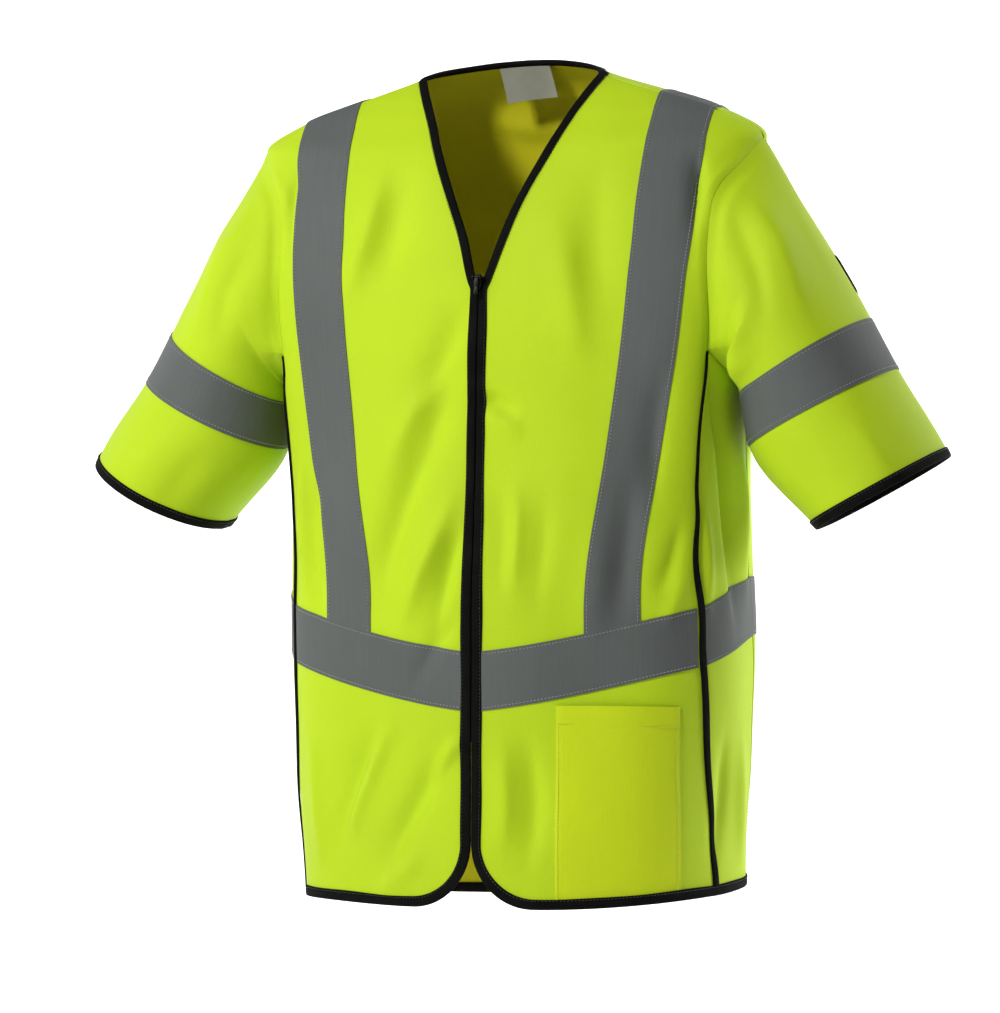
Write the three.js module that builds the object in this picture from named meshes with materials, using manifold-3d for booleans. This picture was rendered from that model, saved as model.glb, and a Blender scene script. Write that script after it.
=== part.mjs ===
// A short-sleeved, zip-fronted safety vest, filled out as if it were worn. Millimetres, +Z up.
// The origin is midway between the two neck points, at the top of the shoulder seams.
// The front faces -Y, and the wearer's left side is at +X.
import * as THREE from 'three';
import { mergeVertices } from 'three/addons/utils/BufferGeometryUtils.js';
import Module from 'manifold-3d';

const wasm = await Module();
wasm.setup();

// ---- Driving dimensions ----
const clothWall = 1.2;
const tapeWall = 0.9;
const bindingWall = 0.8;
const seamGap = 0.3;
const sleeveGap = 0.26;
const layerGap = 0.35;
const bindingGap = 0.5;
const bindingWidth = 7.6;
const neckBindingEnd = 1.8;
const pipingHalf = 3;
const pipingEnd = 1;
const frontEdge = 2.2;
const neckHalf = 80;
const neckBackLevel = 10;
const shoulderTip = { x: 225, level: -56.5 };
const chestLevel = -240;
const armpitLevel = -262;
const waistTape = { top: -495, bottom: -545 };
const hemLevel = -708;
const cornerRadius = 52;
const zipTop = -181;
const zipBottom = -571;
const pocket = { left: 71, right: 167, top: -540, gap: 0.8, wall: 1.0 };
const hemSag = 3;
// The back is cut longer: its hem drops by this much from a share of the way in from the side seam.
const hemDrop = 21;
const hemDropReach = 0.4;
const riseAt = { frontSeam: 38, sideSeam: 62, back: 57, seamX: 184, power: 1.35 };

// ---- The form that the cloth takes ----
// One row a ring. half: half-width; front, back: depth before and behind the side line, which lies at y = side.
// round, corner: squareness of the front at its middle and at its seam; behind: squareness of the back.
// tilt: rise of the ring for each millimetre towards the back.
const ringColumns = ['level', 'half', 'front', 'back', 'side', 'round', 'corner', 'behind', 'tilt'];
const ringRows = [
  [-730, 194, 156, 106, 28, 2.1, 2.4, 2.3, 0],
  [-665, 195, 156, 106, 28, 2.1, 2.4, 2.3, 0],
  [-589, 199, 155, 108, 29, 2.0, 2.5, 2.3, 0],
  [-460, 203, 156, 110, 28, 2.0, 2.7, 2.3, 0],
  [-336, 202, 144, 110, 26, 2.4, 3.3, 2.3, 0],
  [-262, 202, 132, 112, 20, 2.4, 3.8, 2.3, 0],
  [-181, 208, 113, 116, 6, 2.3, 3.8, 2.3, 0.02],
  [-142, 214, 98, 117, 0, 2.3, 3.4, 2.3, 0.05],
  [-111, 220, 84, 115, -7, 2.3, 3.0, 2.3, 0.08],
  [-56.5, 225, 52, 105, -15, 2.2, 2.4, 2.3, 0.16],
  [-30.2, 184, 26, 98, -20, 2.2, 2.3, 2.3, 0.19],
  [-14.2, 135, 16, 83, -16, 2.2, 2.3, 2.3, 0.2],
  [0.6, 86, 9.5, 61.5, -9, 2.2, 2.2, 2.3, 0.2],
  [10, 62.5, 5, 40, -7, 2.2, 2.2, 2.3, 0.2],
];
const rings = ringRows.map((row) => Object.fromEntries(ringColumns.map((name, k) => [name, row[k]])));

// ---- Smooth interpolation through a table ----
function slopes(xs, ys) {
  const steps = xs.slice(1).map((x, k) => x - xs[k]);
  const rates = steps.map((step, k) => (ys[k + 1] - ys[k]) / step);
  const out = [rates[0]];
  for (let k = 1; k < rates.length; k += 1) {
    const same = rates[k - 1] * rates[k] > 0;
    const before = 2 * steps[k] + steps[k - 1];
    const after = steps[k] + 2 * steps[k - 1];
    out.push(same ? (before + after) / (before / rates[k - 1] + after / rates[k]) : 0);
  }
  out.push(rates[rates.length - 1]);
  return out;
}

function smooth(xs, ys) {
  const rates = slopes(xs, ys);
  return (x) => {
    if (x <= xs[0]) return ys[0] + rates[0] * (x - xs[0]);
    const last = xs.length - 1;
    if (x >= xs[last]) return ys[last] + rates[last] * (x - xs[last]);
    let k = 0;
    while (x > xs[k + 1]) k += 1;
    const step = xs[k + 1] - xs[k];
    const s = (x - xs[k]) / step;
    const lead = s * s * (3 - 2 * s);
    return ys[k] * (1 - lead) + ys[k + 1] * lead
      + step * s * (1 - s) * (rates[k] * (1 - s) - rates[k + 1] * s);
  };
}

function table(rows) {
  const sorted = [...rows].sort((a, b) => a[0] - b[0]);
  return smooth(sorted.map((row) => row[0]), sorted.map((row) => row[1]));
}

const ringCurves = Object.fromEntries(ringColumns.slice(1).map(
  (name) => [name, smooth(rings.map((ring) => ring.level), rings.map((ring) => ring[name]))],
));

// ---- The form as a surface ----
// angle runs from 0 at centre front by a quarter turn at the wearer's left side to half a turn at centre back.
const cornerStart = THREE.MathUtils.degToRad(20);
const cornerEnd = THREE.MathUtils.degToRad(60);
const quarter = Math.PI / 2;

function ringAt(level) {
  return Object.fromEntries(Object.entries(ringCurves).map(([name, curve]) => [name, curve(level)]));
}

function formPoint(angle, level, ring = ringAt(level)) {
  const sin = Math.sin(angle);
  const cos = Math.cos(angle);
  const turn = Math.min(Math.abs(angle), 2 * Math.PI - Math.abs(angle));
  const blend = THREE.MathUtils.smoothstep(turn, cornerStart, cornerEnd);
  const square = cos > 0 ? ring.round + (ring.corner - ring.round) * blend : ring.behind;
  const x = ring.half * Math.sign(sin) * Math.abs(sin) ** (2 / square);
  const depth = Math.abs(cos) ** (2 / square);
  const y = ring.side + (cos > 0 ? -ring.front : ring.back) * depth;
  return new THREE.Vector3(x, y, level + ring.tilt * y);
}

function formNormal(angle, level) {
  const turn = 0.02;
  const lift = 1.5;
  const across = formPoint(angle + turn, level).sub(formPoint(angle - turn, level));
  const up = formPoint(angle, level + lift).sub(formPoint(angle, level - lift));
  return across.cross(up).normalize();
}

// The angle of the point at a given x on the front (behind = false) or on the back.
function angleAt(x, level, behind) {
  const ring = ringAt(level);
  let low = 0;
  let high = quarter;
  for (let k = 0; k < 40; k += 1) {
    const middle = (low + high) / 2;
    const reach = formPoint(behind ? Math.PI - middle : middle, level, ring).x;
    if (reach < x) low = middle;
    else high = middle;
  }
  return behind ? Math.PI - low : low;
}

// The level where the shoulder's ridge, a quarter turn round, stands at a given x.
function ridgeLevel(x) {
  let low = shoulderTip.level;
  let high = neckBackLevel;
  for (let k = 0; k < 40; k += 1) {
    const middle = (low + high) / 2;
    if (ringCurves.half(middle) > x) low = middle;
    else high = middle;
  }
  return low;
}

// ---- Lines on the form: x against level, or angle against level ----
const neckPointLevel = ridgeLevel(neckHalf);
const neckLine = table([[-730, frontEdge], [zipTop - 6, frontEdge], [zipTop + 2, 4.5], [-142, 15], [-111, 26],
  [-66, 44], [-29, 61], [neckPointLevel, neckHalf]]);
const braceInner = table([[-730, 94], [-480, 94], [-336, 110], [-193, 126], [-106, 131], [-20, 135]]);
const braceOuter = table([[-730, 139], [-480, 139], [-336, 155], [-193, 173], [-106, 181], [-41, 184]]);
const frontSeam = table([[-730, 187], [-665, 187], [-589, 184], [-460, 181], [-336, 183], [chestLevel, 190]]);
const frontArmhole = table([[chestLevel, 190], [-200, 191], [-150, 190], [-113, 192], [-95, 198], [-76, 212],
  [shoulderTip.level, shoulderTip.x]]);
const sideSeamAngle = table([[-730, 106], [-594, 96], [-460, 89], [armpitLevel, 90]]);
const backArmhole = table([[-245, 199], [-215, 197], [-170, 197], [-130, 202], [-95, 211], [-76, 219],
  [shoulderTip.level, shoulderTip.x]]);
const riseWeight = table([[-730, 0.15], [hemLevel, 0.15], [waistTape.bottom, 1], [waistTape.top, 1],
  [armpitLevel, 0], [40, 0]]);
const dropWeight = table([[-730, 1], [hemLevel, 1], [-650, 0.4], [waistTape.bottom - 5, 0], [40, 0]]);
const sagWeight = table([[-730, 1], [hemLevel, 1], [-640, 0.4], [-590, 0], [40, 0]]);

function frontRise(x) {
  return riseAt.frontSeam * (Math.abs(x) / riseAt.seamX) ** riseAt.power;
}

// A place on the form, for a nominal level: seams and tapes rise from the front towards the back, and the
// hem may drop below that.
function place(angleOf, rise, nominal, drop = 0) {
  const level = nominal + rise * riseWeight(nominal) - drop * dropWeight(nominal);
  const angle = angleOf(level);
  return { point: formPoint(angle, level), normal: formNormal(angle, level) };
}

// The front's hem sags a little between its edge and its seam.
function frontSag(x, nominal) {
  return hemSag * Math.sin(Math.PI * Math.min(Math.abs(x) / riseAt.seamX, 1)) * sagWeight(nominal);
}

function frontPlace(x, nominal) {
  const level = nominal + frontRise(x) * riseWeight(nominal) - frontSag(x, nominal);
  const angle = angleAt(x, level, false);
  return { point: formPoint(angle, level), normal: formNormal(angle, level) };
}

// ---- Solids from grids of places ----
function offset(node, distance) {
  return node.point.clone().addScaledVector(node.normal, distance);
}

// Moves the border of a grid towards its neighbours, which leaves the gap at a seam.
function inset(grid, sides) {
  const copyOf = (node) => ({ point: node.point.clone(), normal: node.normal.clone() });
  const copy = grid.map((row) => row.map(copyOf));
  const last = grid.length - 1;
  const end = grid[0].length - 1;
  const pull = (i, j, k, l, distance) => {
    const way = grid[k][l].point.clone().sub(grid[i][j].point).normalize();
    copy[i][j].point.addScaledVector(way, distance);
  };
  for (let j = 0; j <= end; j += 1) {
    if (sides.bottom) pull(0, j, 1, j, sides.bottom);
    if (sides.top) pull(last, j, last - 1, j, sides.top);
  }
  for (let i = 0; i <= last; i += 1) {
    if (sides.start) pull(i, 0, i, 1, sides.start);
    if (sides.finish) pull(i, end, i, end - 1, sides.finish);
  }
  return copy;
}

// A closed wall over a grid, from one distance along the normals to another. A closed grid joins its two ends.
function wall(grid, outer, inner, closed = false) {
  const rows = grid.length;
  const columns = grid[0].length;
  const count = rows * columns;
  const positions = [];
  [outer, inner].forEach((distance) => {
    grid.flat().forEach((node) => positions.push(...offset(node, distance).toArray()));
  });
  const at = (i, j, layer) => layer * count + i * columns + (j % columns);
  const index = [];
  const quad = (a, b, c, d) => index.push(a, b, c, a, c, d);
  const spans = closed ? columns : columns - 1;
  for (let i = 0; i < rows - 1; i += 1) {
    for (let j = 0; j < spans; j += 1) {
      quad(at(i, j, 0), at(i, j + 1, 0), at(i + 1, j + 1, 0), at(i + 1, j, 0));
      index.push(at(i, j, 1), at(i + 1, j + 1, 1), at(i, j + 1, 1));
      index.push(at(i, j, 1), at(i + 1, j, 1), at(i + 1, j + 1, 1));
    }
  }
  for (let j = 0; j < spans; j += 1) {
    quad(at(0, j, 1), at(0, j + 1, 1), at(0, j + 1, 0), at(0, j, 0));
    quad(at(rows - 1, j, 0), at(rows - 1, j + 1, 0), at(rows - 1, j + 1, 1), at(rows - 1, j, 1));
  }
  if (!closed) {
    for (let i = 0; i < rows - 1; i += 1) {
      quad(at(i, 0, 0), at(i + 1, 0, 0), at(i + 1, 0, 1), at(i, 0, 1));
      quad(at(i, columns - 1, 1), at(i + 1, columns - 1, 1), at(i + 1, columns - 1, 0), at(i, columns - 1, 0));
    }
  }
  return geometryOf(positions, index);
}

function geometryOf(positions, index) {
  const geometry = new THREE.BufferGeometry();
  geometry.setAttribute('position', new THREE.Float32BufferAttribute(positions, 3));
  geometry.setIndex(index);
  geometry.computeVertexNormals();
  return geometry;
}

function mirrored(geometry) {
  const copy = geometry.clone();
  copy.scale(-1, 1, 1);
  const index = Array.from(copy.getIndex().array);
  for (let k = 0; k < index.length; k += 3) {
    [index[k], index[k + 1]] = [index[k + 1], index[k]];
  }
  copy.setIndex(index);
  copy.computeVertexNormals();
  return copy;
}

// Sweeps a closed outline, given at each station as points in space. Sides named in crossed are split along
// their other diagonal, so that they match the facets of the cloth they lie on.
function sweep(stations, closed = false, crossed = []) {
  const size = stations[0].length;
  const positions = stations.flat().flatMap((point) => point.toArray());
  const index = [];
  const spans = closed ? stations.length : stations.length - 1;
  for (let i = 0; i < spans; i += 1) {
    const here = i * size;
    const next = ((i + 1) % stations.length) * size;
    for (let k = 0; k < size; k += 1) {
      const other = (k + 1) % size;
      if (crossed.includes(k)) {
        index.push(here + k, here + other, next + k, here + other, next + other, next + k);
      } else {
        index.push(here + k, here + other, next + other, here + k, next + other, next + k);
      }
    }
  }
  return { positions, index, size, count: stations.length };
}

// Binding folded over an edge: a channel, open towards the cloth. Each station has the edge's place, the
// place at the binding's inner border, and the wall of the cloth between the two legs.
const underFace = 5;
const channelCaps = [[0, 1, 2], [0, 2, 7], [2, 3, 6], [2, 6, 7], [3, 4, 5], [3, 5, 6]];

function channel(stations, closed = false, crossed = []) {
  const outer = bindingGap;
  const under = -clothWall - bindingGap;
  const outlines = stations.map(({ edge, inner }) => {
    const way = edge.point.clone().sub(inner.point).normalize();
    const fold = (reach, height) => offset(edge, height).addScaledVector(way, reach);
    return [
      offset(inner, outer),
      offset(inner, outer + bindingWall),
      fold(bindingGap + bindingWall, outer + bindingWall),
      fold(bindingGap + bindingWall, under - bindingWall),
      offset(inner, under - bindingWall),
      offset(inner, under),
      fold(bindingGap, under),
      fold(bindingGap, outer),
    ];
  });
  const swept = sweep(outlines, closed, crossed);
  if (!closed) {
    const last = (swept.count - 1) * swept.size;
    channelCaps.forEach(([a, b, c]) => {
      swept.index.push(a, c, b);
      swept.index.push(last + a, last + b, last + c);
    });
  }
  return geometryOf(swept.positions, swept.index);
}

// ---- Rows and columns of the panels ----
const lowerRows = [hemLevel + bindingWidth, -668, -630, -588, waistTape.bottom, -520, waistTape.top, -440, -385,
  -330, -284, chestLevel];
const upperRows = [0.14, 0.28, 0.42, 0.56, 0.7, 0.82, 0.92, 1];

// A front column is x against nominal level, and the level where it ends on the shoulder.
function frontColumn(lineAt, topX) {
  return { lineAt, topX, top: ridgeLevel(topX) };
}

function between(first, second, share) {
  const lineAt = (level) => first.lineAt(level) + (second.lineAt(level) - first.lineAt(level)) * share;
  const topX = first.topX + (second.topX - first.topX) * share;
  return frontColumn(lineAt, topX);
}

const pocketSideWeight = table([[-730, 1], [waistTape.bottom, 1], [waistTape.top, 0.9], [-300, 0], [40, 0]]);
const edgeColumn = frontColumn(neckLine, neckHalf);
const bindSide = bindingWidth + 0.5;
const bindColumn = frontColumn((level) => neckLine(level) + bindSide, neckHalf + bindSide);
const innerTape = frontColumn(braceInner, 135);
const outerTape = frontColumn(braceOuter, 184);
const middleTape = between(innerTape, outerTape, 0.5);
const sideColumn = frontColumn((level) => (level < chestLevel ? frontSeam(level) : frontArmhole(level)),
  shoulderTip.x);
const pocketLeftColumn = blended(between(bindColumn, innerTape, 0.62), pocket.left);
const pocketRightColumn = blended(between(outerTape, sideColumn, 0.5), pocket.right);

// A column that follows another above the waist, and stands at a given x below it.
function blended(column, x) {
  const lineAt = (level) => {
    const weight = pocketSideWeight(level);
    return column.lineAt(level) * (1 - weight) + x * weight;
  };
  return { lineAt, topX: column.topX, top: column.top };
}

const frontColumns = [edgeColumn, bindColumn,
  between(bindColumn, pocketLeftColumn, 0.4), between(bindColumn, pocketLeftColumn, 0.72), pocketLeftColumn,
  innerTape, middleTape, outerTape, pocketRightColumn, sideColumn];
const column = { bind: 1, pocketLeft: 4, inner: 5, middle: 6, outer: 7, pocketRight: 8, side: 9 };

// The hem of the front rises in a round corner to its front edge.
function frontHem(x) {
  const reach = cornerRadius - (x - frontEdge);
  if (reach <= 0) return hemLevel;
  return hemLevel + cornerRadius - Math.sqrt(Math.max(cornerRadius ** 2 - reach ** 2, 0));
}

function columnLevels(frontCol) {
  const bottom = frontHem(frontCol.lineAt(hemLevel));
  const lower = lowerRows.filter((level) => level > hemLevel + cornerRadius + 1);
  const corner = lowerRows.filter((level) => level <= hemLevel + cornerRadius + 1);
  const top = lower[0];
  const eased = corner.map((level) => {
    const share = (level - hemLevel) / (top - hemLevel);
    return bottom + (top - bottom) * share;
  });
  const upper = upperRows.map((share) => chestLevel + (frontCol.top - chestLevel) * share);
  return [bottom, ...eased, ...lower, ...upper];
}

function frontGrid(columns) {
  const levels = columns.map(columnLevels);
  return levels[0].map((_, i) => columns.map((frontCol, j) => {
    const level = levels[j][i];
    const x = Math.min(frontCol.lineAt(level), level >= ridgeLevel(frontCol.topX) ? frontCol.topX : Infinity);
    if (i === levels[0].length - 1) return place(() => quarter, 0, frontCol.top);
    return frontPlace(x, level);
  }));
}

const fullFront = frontGrid(frontColumns);
const rowCount = fullFront.length;
const chestRow = rowCount - 1 - upperRows.length;
const waistBottomRow = lowerRows.indexOf(waistTape.bottom) + 1;
const waistTopRow = lowerRows.indexOf(waistTape.top) + 1;

// ---- Side panel: from the front seam to the side seam ----
const sideShares = [0, 0.25, 0.5, 0.75, 1];
const sideTops = sideShares.map((share) => chestLevel + (armpitLevel - chestLevel) * Math.sin(share * quarter));

function sidePlace(share, nominal) {
  const rise = riseAt.frontSeam + (riseAt.sideSeam - riseAt.frontSeam) * share;
  const angleOf = (level) => {
    const first = angleAt(frontSeam(nominal), level, false);
    const second = THREE.MathUtils.degToRad(sideSeamAngle(nominal));
    return first + (second - first) * share;
  };
  return place(angleOf, rise * (share === 0 ? frontRise(frontSeam(nominal)) / riseAt.frontSeam : 1), nominal);
}

const sideRows = [hemLevel, ...lowerRows];

function sideGrid() {
  return sideRows.map((level, i) => sideShares.map((share, j) => {
    const last = i === sideRows.length - 1;
    return sidePlace(share, last ? sideTops[j] : Math.min(level, sideTops[j] - 12));
  }));
}

// ---- Back ----
const backUpper = [0.12, 0.25, 0.38, 0.52, 0.66, 0.8, 0.91];
const backRows = [hemLevel, ...lowerRows.slice(0, -2)];

function neckLevel(x) {
  return neckBackLevel + (neckPointLevel - neckBackLevel) * (x / neckHalf) ** 2;
}

function backColumn(lineAt, topX) {
  const top = topX >= neckHalf ? ridgeLevel(topX) : neckLevel(topX);
  return { lineAt, topX, top, onRidge: topX >= neckHalf };
}

const backSideLine = (level) => (level < -245 ? 199 : backArmhole(level));
const backInner = backColumn(braceInner, 135);
const backOuter = backColumn(braceOuter, 184);
const backHalf = [
  backColumn(backSideLine, shoulderTip.x),
  backColumn((level) => (backSideLine(level) + braceOuter(level)) / 2, (shoulderTip.x + 184) / 2),
  backOuter,
  backColumn((level) => (braceInner(level) + braceOuter(level)) / 2, 159.5),
  backInner,
  backColumn((level) => braceInner(level) * 0.82, 106),
  backColumn((level) => braceInner(level) * 0.6, neckHalf),
  backColumn((level) => braceInner(level) * 0.4, 50),
  backColumn((level) => braceInner(level) * 0.2, 24),
  backColumn(() => 0, 0),
];

function backPlace(line, j, nominal, isTop) {
  if (isTop && line.onRidge) return place(() => quarter, 0, line.top);
  const rise = riseAt.sideSeam + (riseAt.back - riseAt.sideSeam) * (j / (backHalf.length - 1));
  if (j === 0 && nominal <= armpitLevel) {
    return place(() => THREE.MathUtils.degToRad(sideSeamAngle(nominal)), rise, nominal);
  }
  const drop = hemDrop * THREE.MathUtils.smoothstep(j / (backHalf.length - 1), 0, hemDropReach);
  const toTop = THREE.MathUtils.smoothstep(nominal, -120, line.top);
  const x = isTop ? line.topX : line.lineAt(nominal) * (1 - toTop) + line.topX * toTop;
  return place((level) => angleAt(x, level, true), rise, nominal, drop);
}

// The level on a column that lies a binding's width below its top, measured over the cloth.
function levelBelowTop(line, j) {
  const top = backPlace(line, j, line.top, true).point;
  let low = -40 + line.top;
  let high = line.top;
  for (let k = 0; k < 30; k += 1) {
    const middle = (low + high) / 2;
    if (backPlace(line, j, middle, false).point.distanceTo(top) > bindingWidth) low = middle;
    else high = middle;
  }
  return low;
}

function backSideGrid() {
  const upper = (line, j) => [
    ...backUpper.map((share) => armpitLevel + (line.top - armpitLevel) * share),
    levelBelowTop(line, j),
    line.top,
  ];
  const levels = backHalf.map((line, j) => [...backRows, armpitLevel, ...upper(line, j)]);
  return levels[0].map((_, i) => backHalf.map(
    (line, j) => backPlace(line, j, levels[j][i], i === levels[0].length - 1),
  ));
}

function flipNode(node) {
  const turn = new THREE.Vector3(-1, 1, 1);
  return { point: node.point.clone().multiply(turn), normal: node.normal.clone().multiply(turn) };
}

const backLeft = backSideGrid();
const fullBack = backLeft.map((row) => [...row, ...row.slice(0, -1).reverse().map(flipNode)]);
const backWaistBottom = backRows.indexOf(waistTape.bottom);
const backWaistTop = backRows.indexOf(waistTape.top);

// ---- Sleeve ----
// Sections below the armhole, on the wearer's left: the outer and the inner end of each ring, its half-depth,
// its y, and how far its front hangs below its back.
const sleeveSections = [
  { outerX: 260, outerZ: -123, innerX: 203.6, innerZ: -268, depth: 76, y: -6, dip: 0 },
  { outerX: 299, outerZ: -186, innerX: 204.6, innerZ: -274, depth: 76, y: -6, dip: 2 },
  { outerX: 315, outerZ: -214, innerX: 205.8, innerZ: -281, depth: 76, y: -6, dip: 3 },
  { outerX: 339, outerZ: -257, innerX: 213, innerZ: -322, depth: 76, y: -6, dip: 4 },
  { outerX: 379.3, outerZ: -324.7, innerX: 266.6, innerZ: -386.7, depth: 72, y: -8, dip: 6 },
  { outerX: 382, outerZ: -330, innerX: 271, innerZ: -391.5, depth: 72, y: -8, dip: 6 },
];
const sleeveStations = [0, 0.35, 0.55, 0.63, 0.75, 0.982, 1];
const sleeveRows = [0, 0.06, 0.17, 0.33, 0.475, 0.565, 0.63, 0.75, 0.85, 0.95, 1];
const sleeveTape = { top: 6, bottom: 7 };
const sleevePatch = { top: 4, bottom: 5, around: 3, wall: 0.6 };

const sideTopGrid = sideGrid();

// The armhole as a ring, from the shoulder down the front, under the arm and up the back.
function armholeRing() {
  const front = fullFront.slice(chestRow).map((row) => row[column.side]).reverse();
  const under = sideTopGrid[sideTopGrid.length - 1].slice(1);
  const rise = backLeft.slice(backRows.length + 1, -1).map((row) => row[0]);
  return [...front, ...under, ...rise];
}

const armhole = armholeRing();
const underarm = upperRows.length + sideShares.length - 1;

function ringAngles() {
  const count = armhole.length;
  const lengths = armhole.map((node, k) => node.point.distanceTo(armhole[(k + 1) % count].point));
  const total = (from, to) => lengths.slice(from, to).reduce((sum, length) => sum + length, 0);
  const front = total(0, underarm);
  const back = total(underarm, count);
  return armhole.map((_, k) => (k <= underarm
    ? (Math.PI * total(0, k)) / front
    : Math.PI + (Math.PI * total(underarm, k)) / back));
}

const sleeveAngles = ringAngles();

function sectionPoint(section, angle) {
  const share = Math.cos(angle) / 2;
  const forward = Math.sin(angle);
  return new THREE.Vector3(
    (section.outerX + section.innerX) / 2 + (section.outerX - section.innerX) * share,
    section.y - section.depth * forward,
    (section.outerZ + section.innerZ) / 2 + (section.outerZ - section.innerZ) * share - section.dip * forward,
  );
}

const sleeveCurves = sleeveAngles.map((angle, k) => {
  const points = [armhole[k].point, ...sleeveSections.map((section) => sectionPoint(section, angle))];
  return ['x', 'y', 'z'].map((axis) => smooth(sleeveStations, points.map((point) => point[axis])));
});

function sleevePoint(k, station) {
  return new THREE.Vector3(...sleeveCurves[k].map((curve) => curve(station)));
}

function sleeveNormal(k, station) {
  const count = armhole.length;
  const step = 0.01;
  const low = Math.max(station, step);
  const down = sleevePoint(k, low + step).sub(sleevePoint(k, low - step));
  const around = sleevePoint((k + 1) % count, low).sub(sleevePoint((k + count - 1) % count, low));
  return around.cross(down).normalize();
}

// Where the sleeve folds back sharply under the arm it starts just off the body; elsewhere its edge
// stands square to the body's surface, so the two edges face each other.
function sleeveStart(k) {
  const body = armhole[k].normal;
  const own = sleeveNormal(k, 0);
  const agree = THREE.MathUtils.smoothstep(body.dot(own), 0, 0.5);
  const normal = body.clone().multiplyScalar(agree).addScaledVector(own, 1 - agree).normalize();
  const point = armhole[k].point.clone().addScaledVector(body, (seamGap + 0.1) * (1 - agree));
  return { point, normal };
}

// Rings run from the cuff up, so that the outside faces out.
function sleeveGrid() {
  return [...sleeveRows].reverse().map((station) => armhole.map((_, k) => {
    if (station === 0) return sleeveStart(k);
    return { point: sleevePoint(k, station), normal: sleeveNormal(k, station) };
  }));
}

const fullSleeve = sleeveGrid().map((row) => [row[0], ...row.slice(1).reverse()]);
const sleeveLast = sleeveRows.length - 1;

// ---- Materials ----
const finishes = {
  yellow: { color: 0xc8e83c, roughness: 0.75, metalness: 0 },
  pocket: { color: 0xb5cc20, roughness: 0.75, metalness: 0 },
  tape: { color: 0x777c7a, roughness: 0.45, metalness: 0.1 },
  black: { color: 0x191a18, roughness: 0.8, metalness: 0 },
  zip: { color: 0x101010, roughness: 0.5, metalness: 0 },
  slider: { color: 0x1c1c1c, roughness: 0.35, metalness: 0.6 },
  label: { color: 0xb4b5a8, roughness: 0.8, metalness: 0 },
};

const vest = new THREE.Group();

function add(name, geometry, finish) {
  const mesh = new THREE.Mesh(geometry, new THREE.MeshStandardMaterial(finishes[finish]));
  mesh.name = name;
  vest.add(mesh);
}

// Adds a piece of the wearer's left side and its mirror image on the right.
function addPair(name, geometry, finish) {
  add(`${name}_left`, geometry, finish);
  add(`${name}_right`, mirrored(geometry), finish);
}

// ---- Pieces ----
const half = seamGap / 2;

function addPanels() {
  const front = inset(fullFront, { finish: half, top: half });
  addPair('front', wall(front, 0, -clothWall), 'yellow');
  const side = inset(sideTopGrid, { start: half, finish: half, top: half });
  addPair('side', wall(side, 0, -clothWall), 'yellow');
  const back = inset(fullBack, { start: half, finish: half });
  const shoulder = inset(fullBack, { start: half, finish: half, top: half });
  const last = back.length - 1;
  fullBack[last].forEach((_, j) => {
    const neck = Math.abs(fullBack[last][j].point.x) < neckHalf - 0.01;
    if (!neck) back[last][j] = shoulder[last][j];
  });
  add('back', wall(back, 0, -clothWall), 'yellow');
  addPair('sleeve', wall(inset(fullSleeve, { top: sleeveGap }), 0, -clothWall, true), 'yellow');
}

function part(grid, rows, columns) {
  return grid.slice(rows[0], rows[1] + 1).map((row) => row.slice(columns[0], columns[1] + 1));
}

function addTapes() {
  const on = layerGap;
  const out = layerGap + tapeWall;
  const brace = part(fullFront, [waistTopRow, rowCount - 1], [column.inner, column.outer]);
  addPair('brace_front', wall(inset(brace, { bottom: seamGap, top: half }), out, on), 'tape');
  const end = fullBack[0].length - 1;
  const behind = { left: [2, 4], right: [end - 4, end - 2] };
  Object.entries(behind).forEach(([hand, columns]) => {
    const strip = part(fullBack, [backWaistTop, fullBack.length - 1], columns);
    add(`brace_back_${hand}`, wall(inset(strip, { bottom: seamGap, top: half }), out, on), 'tape');
  });
  const front = part(fullFront, [waistBottomRow, waistTopRow], [column.bind, column.side]);
  addPair('waist_front', wall(inset(front, { start: seamGap, finish: pipingHalf + seamGap }), out, on), 'tape');
  const side = part(sideTopGrid, [waistBottomRow, waistTopRow], [0, sideShares.length - 1]);
  addPair('waist_side', wall(inset(side, { start: pipingHalf + seamGap, finish: half }), out, on), 'tape');
  const back = part(fullBack, [backWaistBottom, backWaistTop], [0, end]);
  add('waist_back', wall(inset(back, { start: half, finish: half }), out, on), 'tape');
  const band = fullSleeve.slice(sleeveLast - sleeveTape.bottom, sleeveLast - sleeveTape.top + 1);
  addPair('sleeve_tape', wall(band, out, on, true), 'tape');
}

function addPiping() {
  const strip = sideTopGrid.slice(1).map((row, i) => {
    const seam = row[0];
    const before = fullFront[i + 1][column.side - 1];
    const after = row[1];
    const step = (other) => ({
      point: seam.point.clone().add(other.point.clone().sub(seam.point).setLength(pipingHalf)),
      normal: seam.normal.clone(),
    });
    return [step(before), seam, step(after)];
  });
  const cord = inset(strip, { bottom: pipingEnd, top: pipingEnd });
  addPair('piping', wall(cord, layerGap + tapeWall, layerGap), 'black');
}

// The front's binding: down the neck line and the front edge, round the corner and along the hem.
const cornerShares = [0.1, 0.25, 0.4, 0.55, 0.7, 0.85, 1];

function cornerStation(share) {
  const turn = share * quarter;
  const across = { x: bindingWidth * Math.cos(turn), level: bindingWidth * Math.sin(turn) };
  const x = frontEdge + cornerRadius * (1 - Math.cos(turn));
  const level = hemLevel + cornerRadius * (1 - Math.sin(turn));
  return { edge: frontPlace(x, level), inner: frontPlace(x + across.x, level + across.level) };
}

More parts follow.
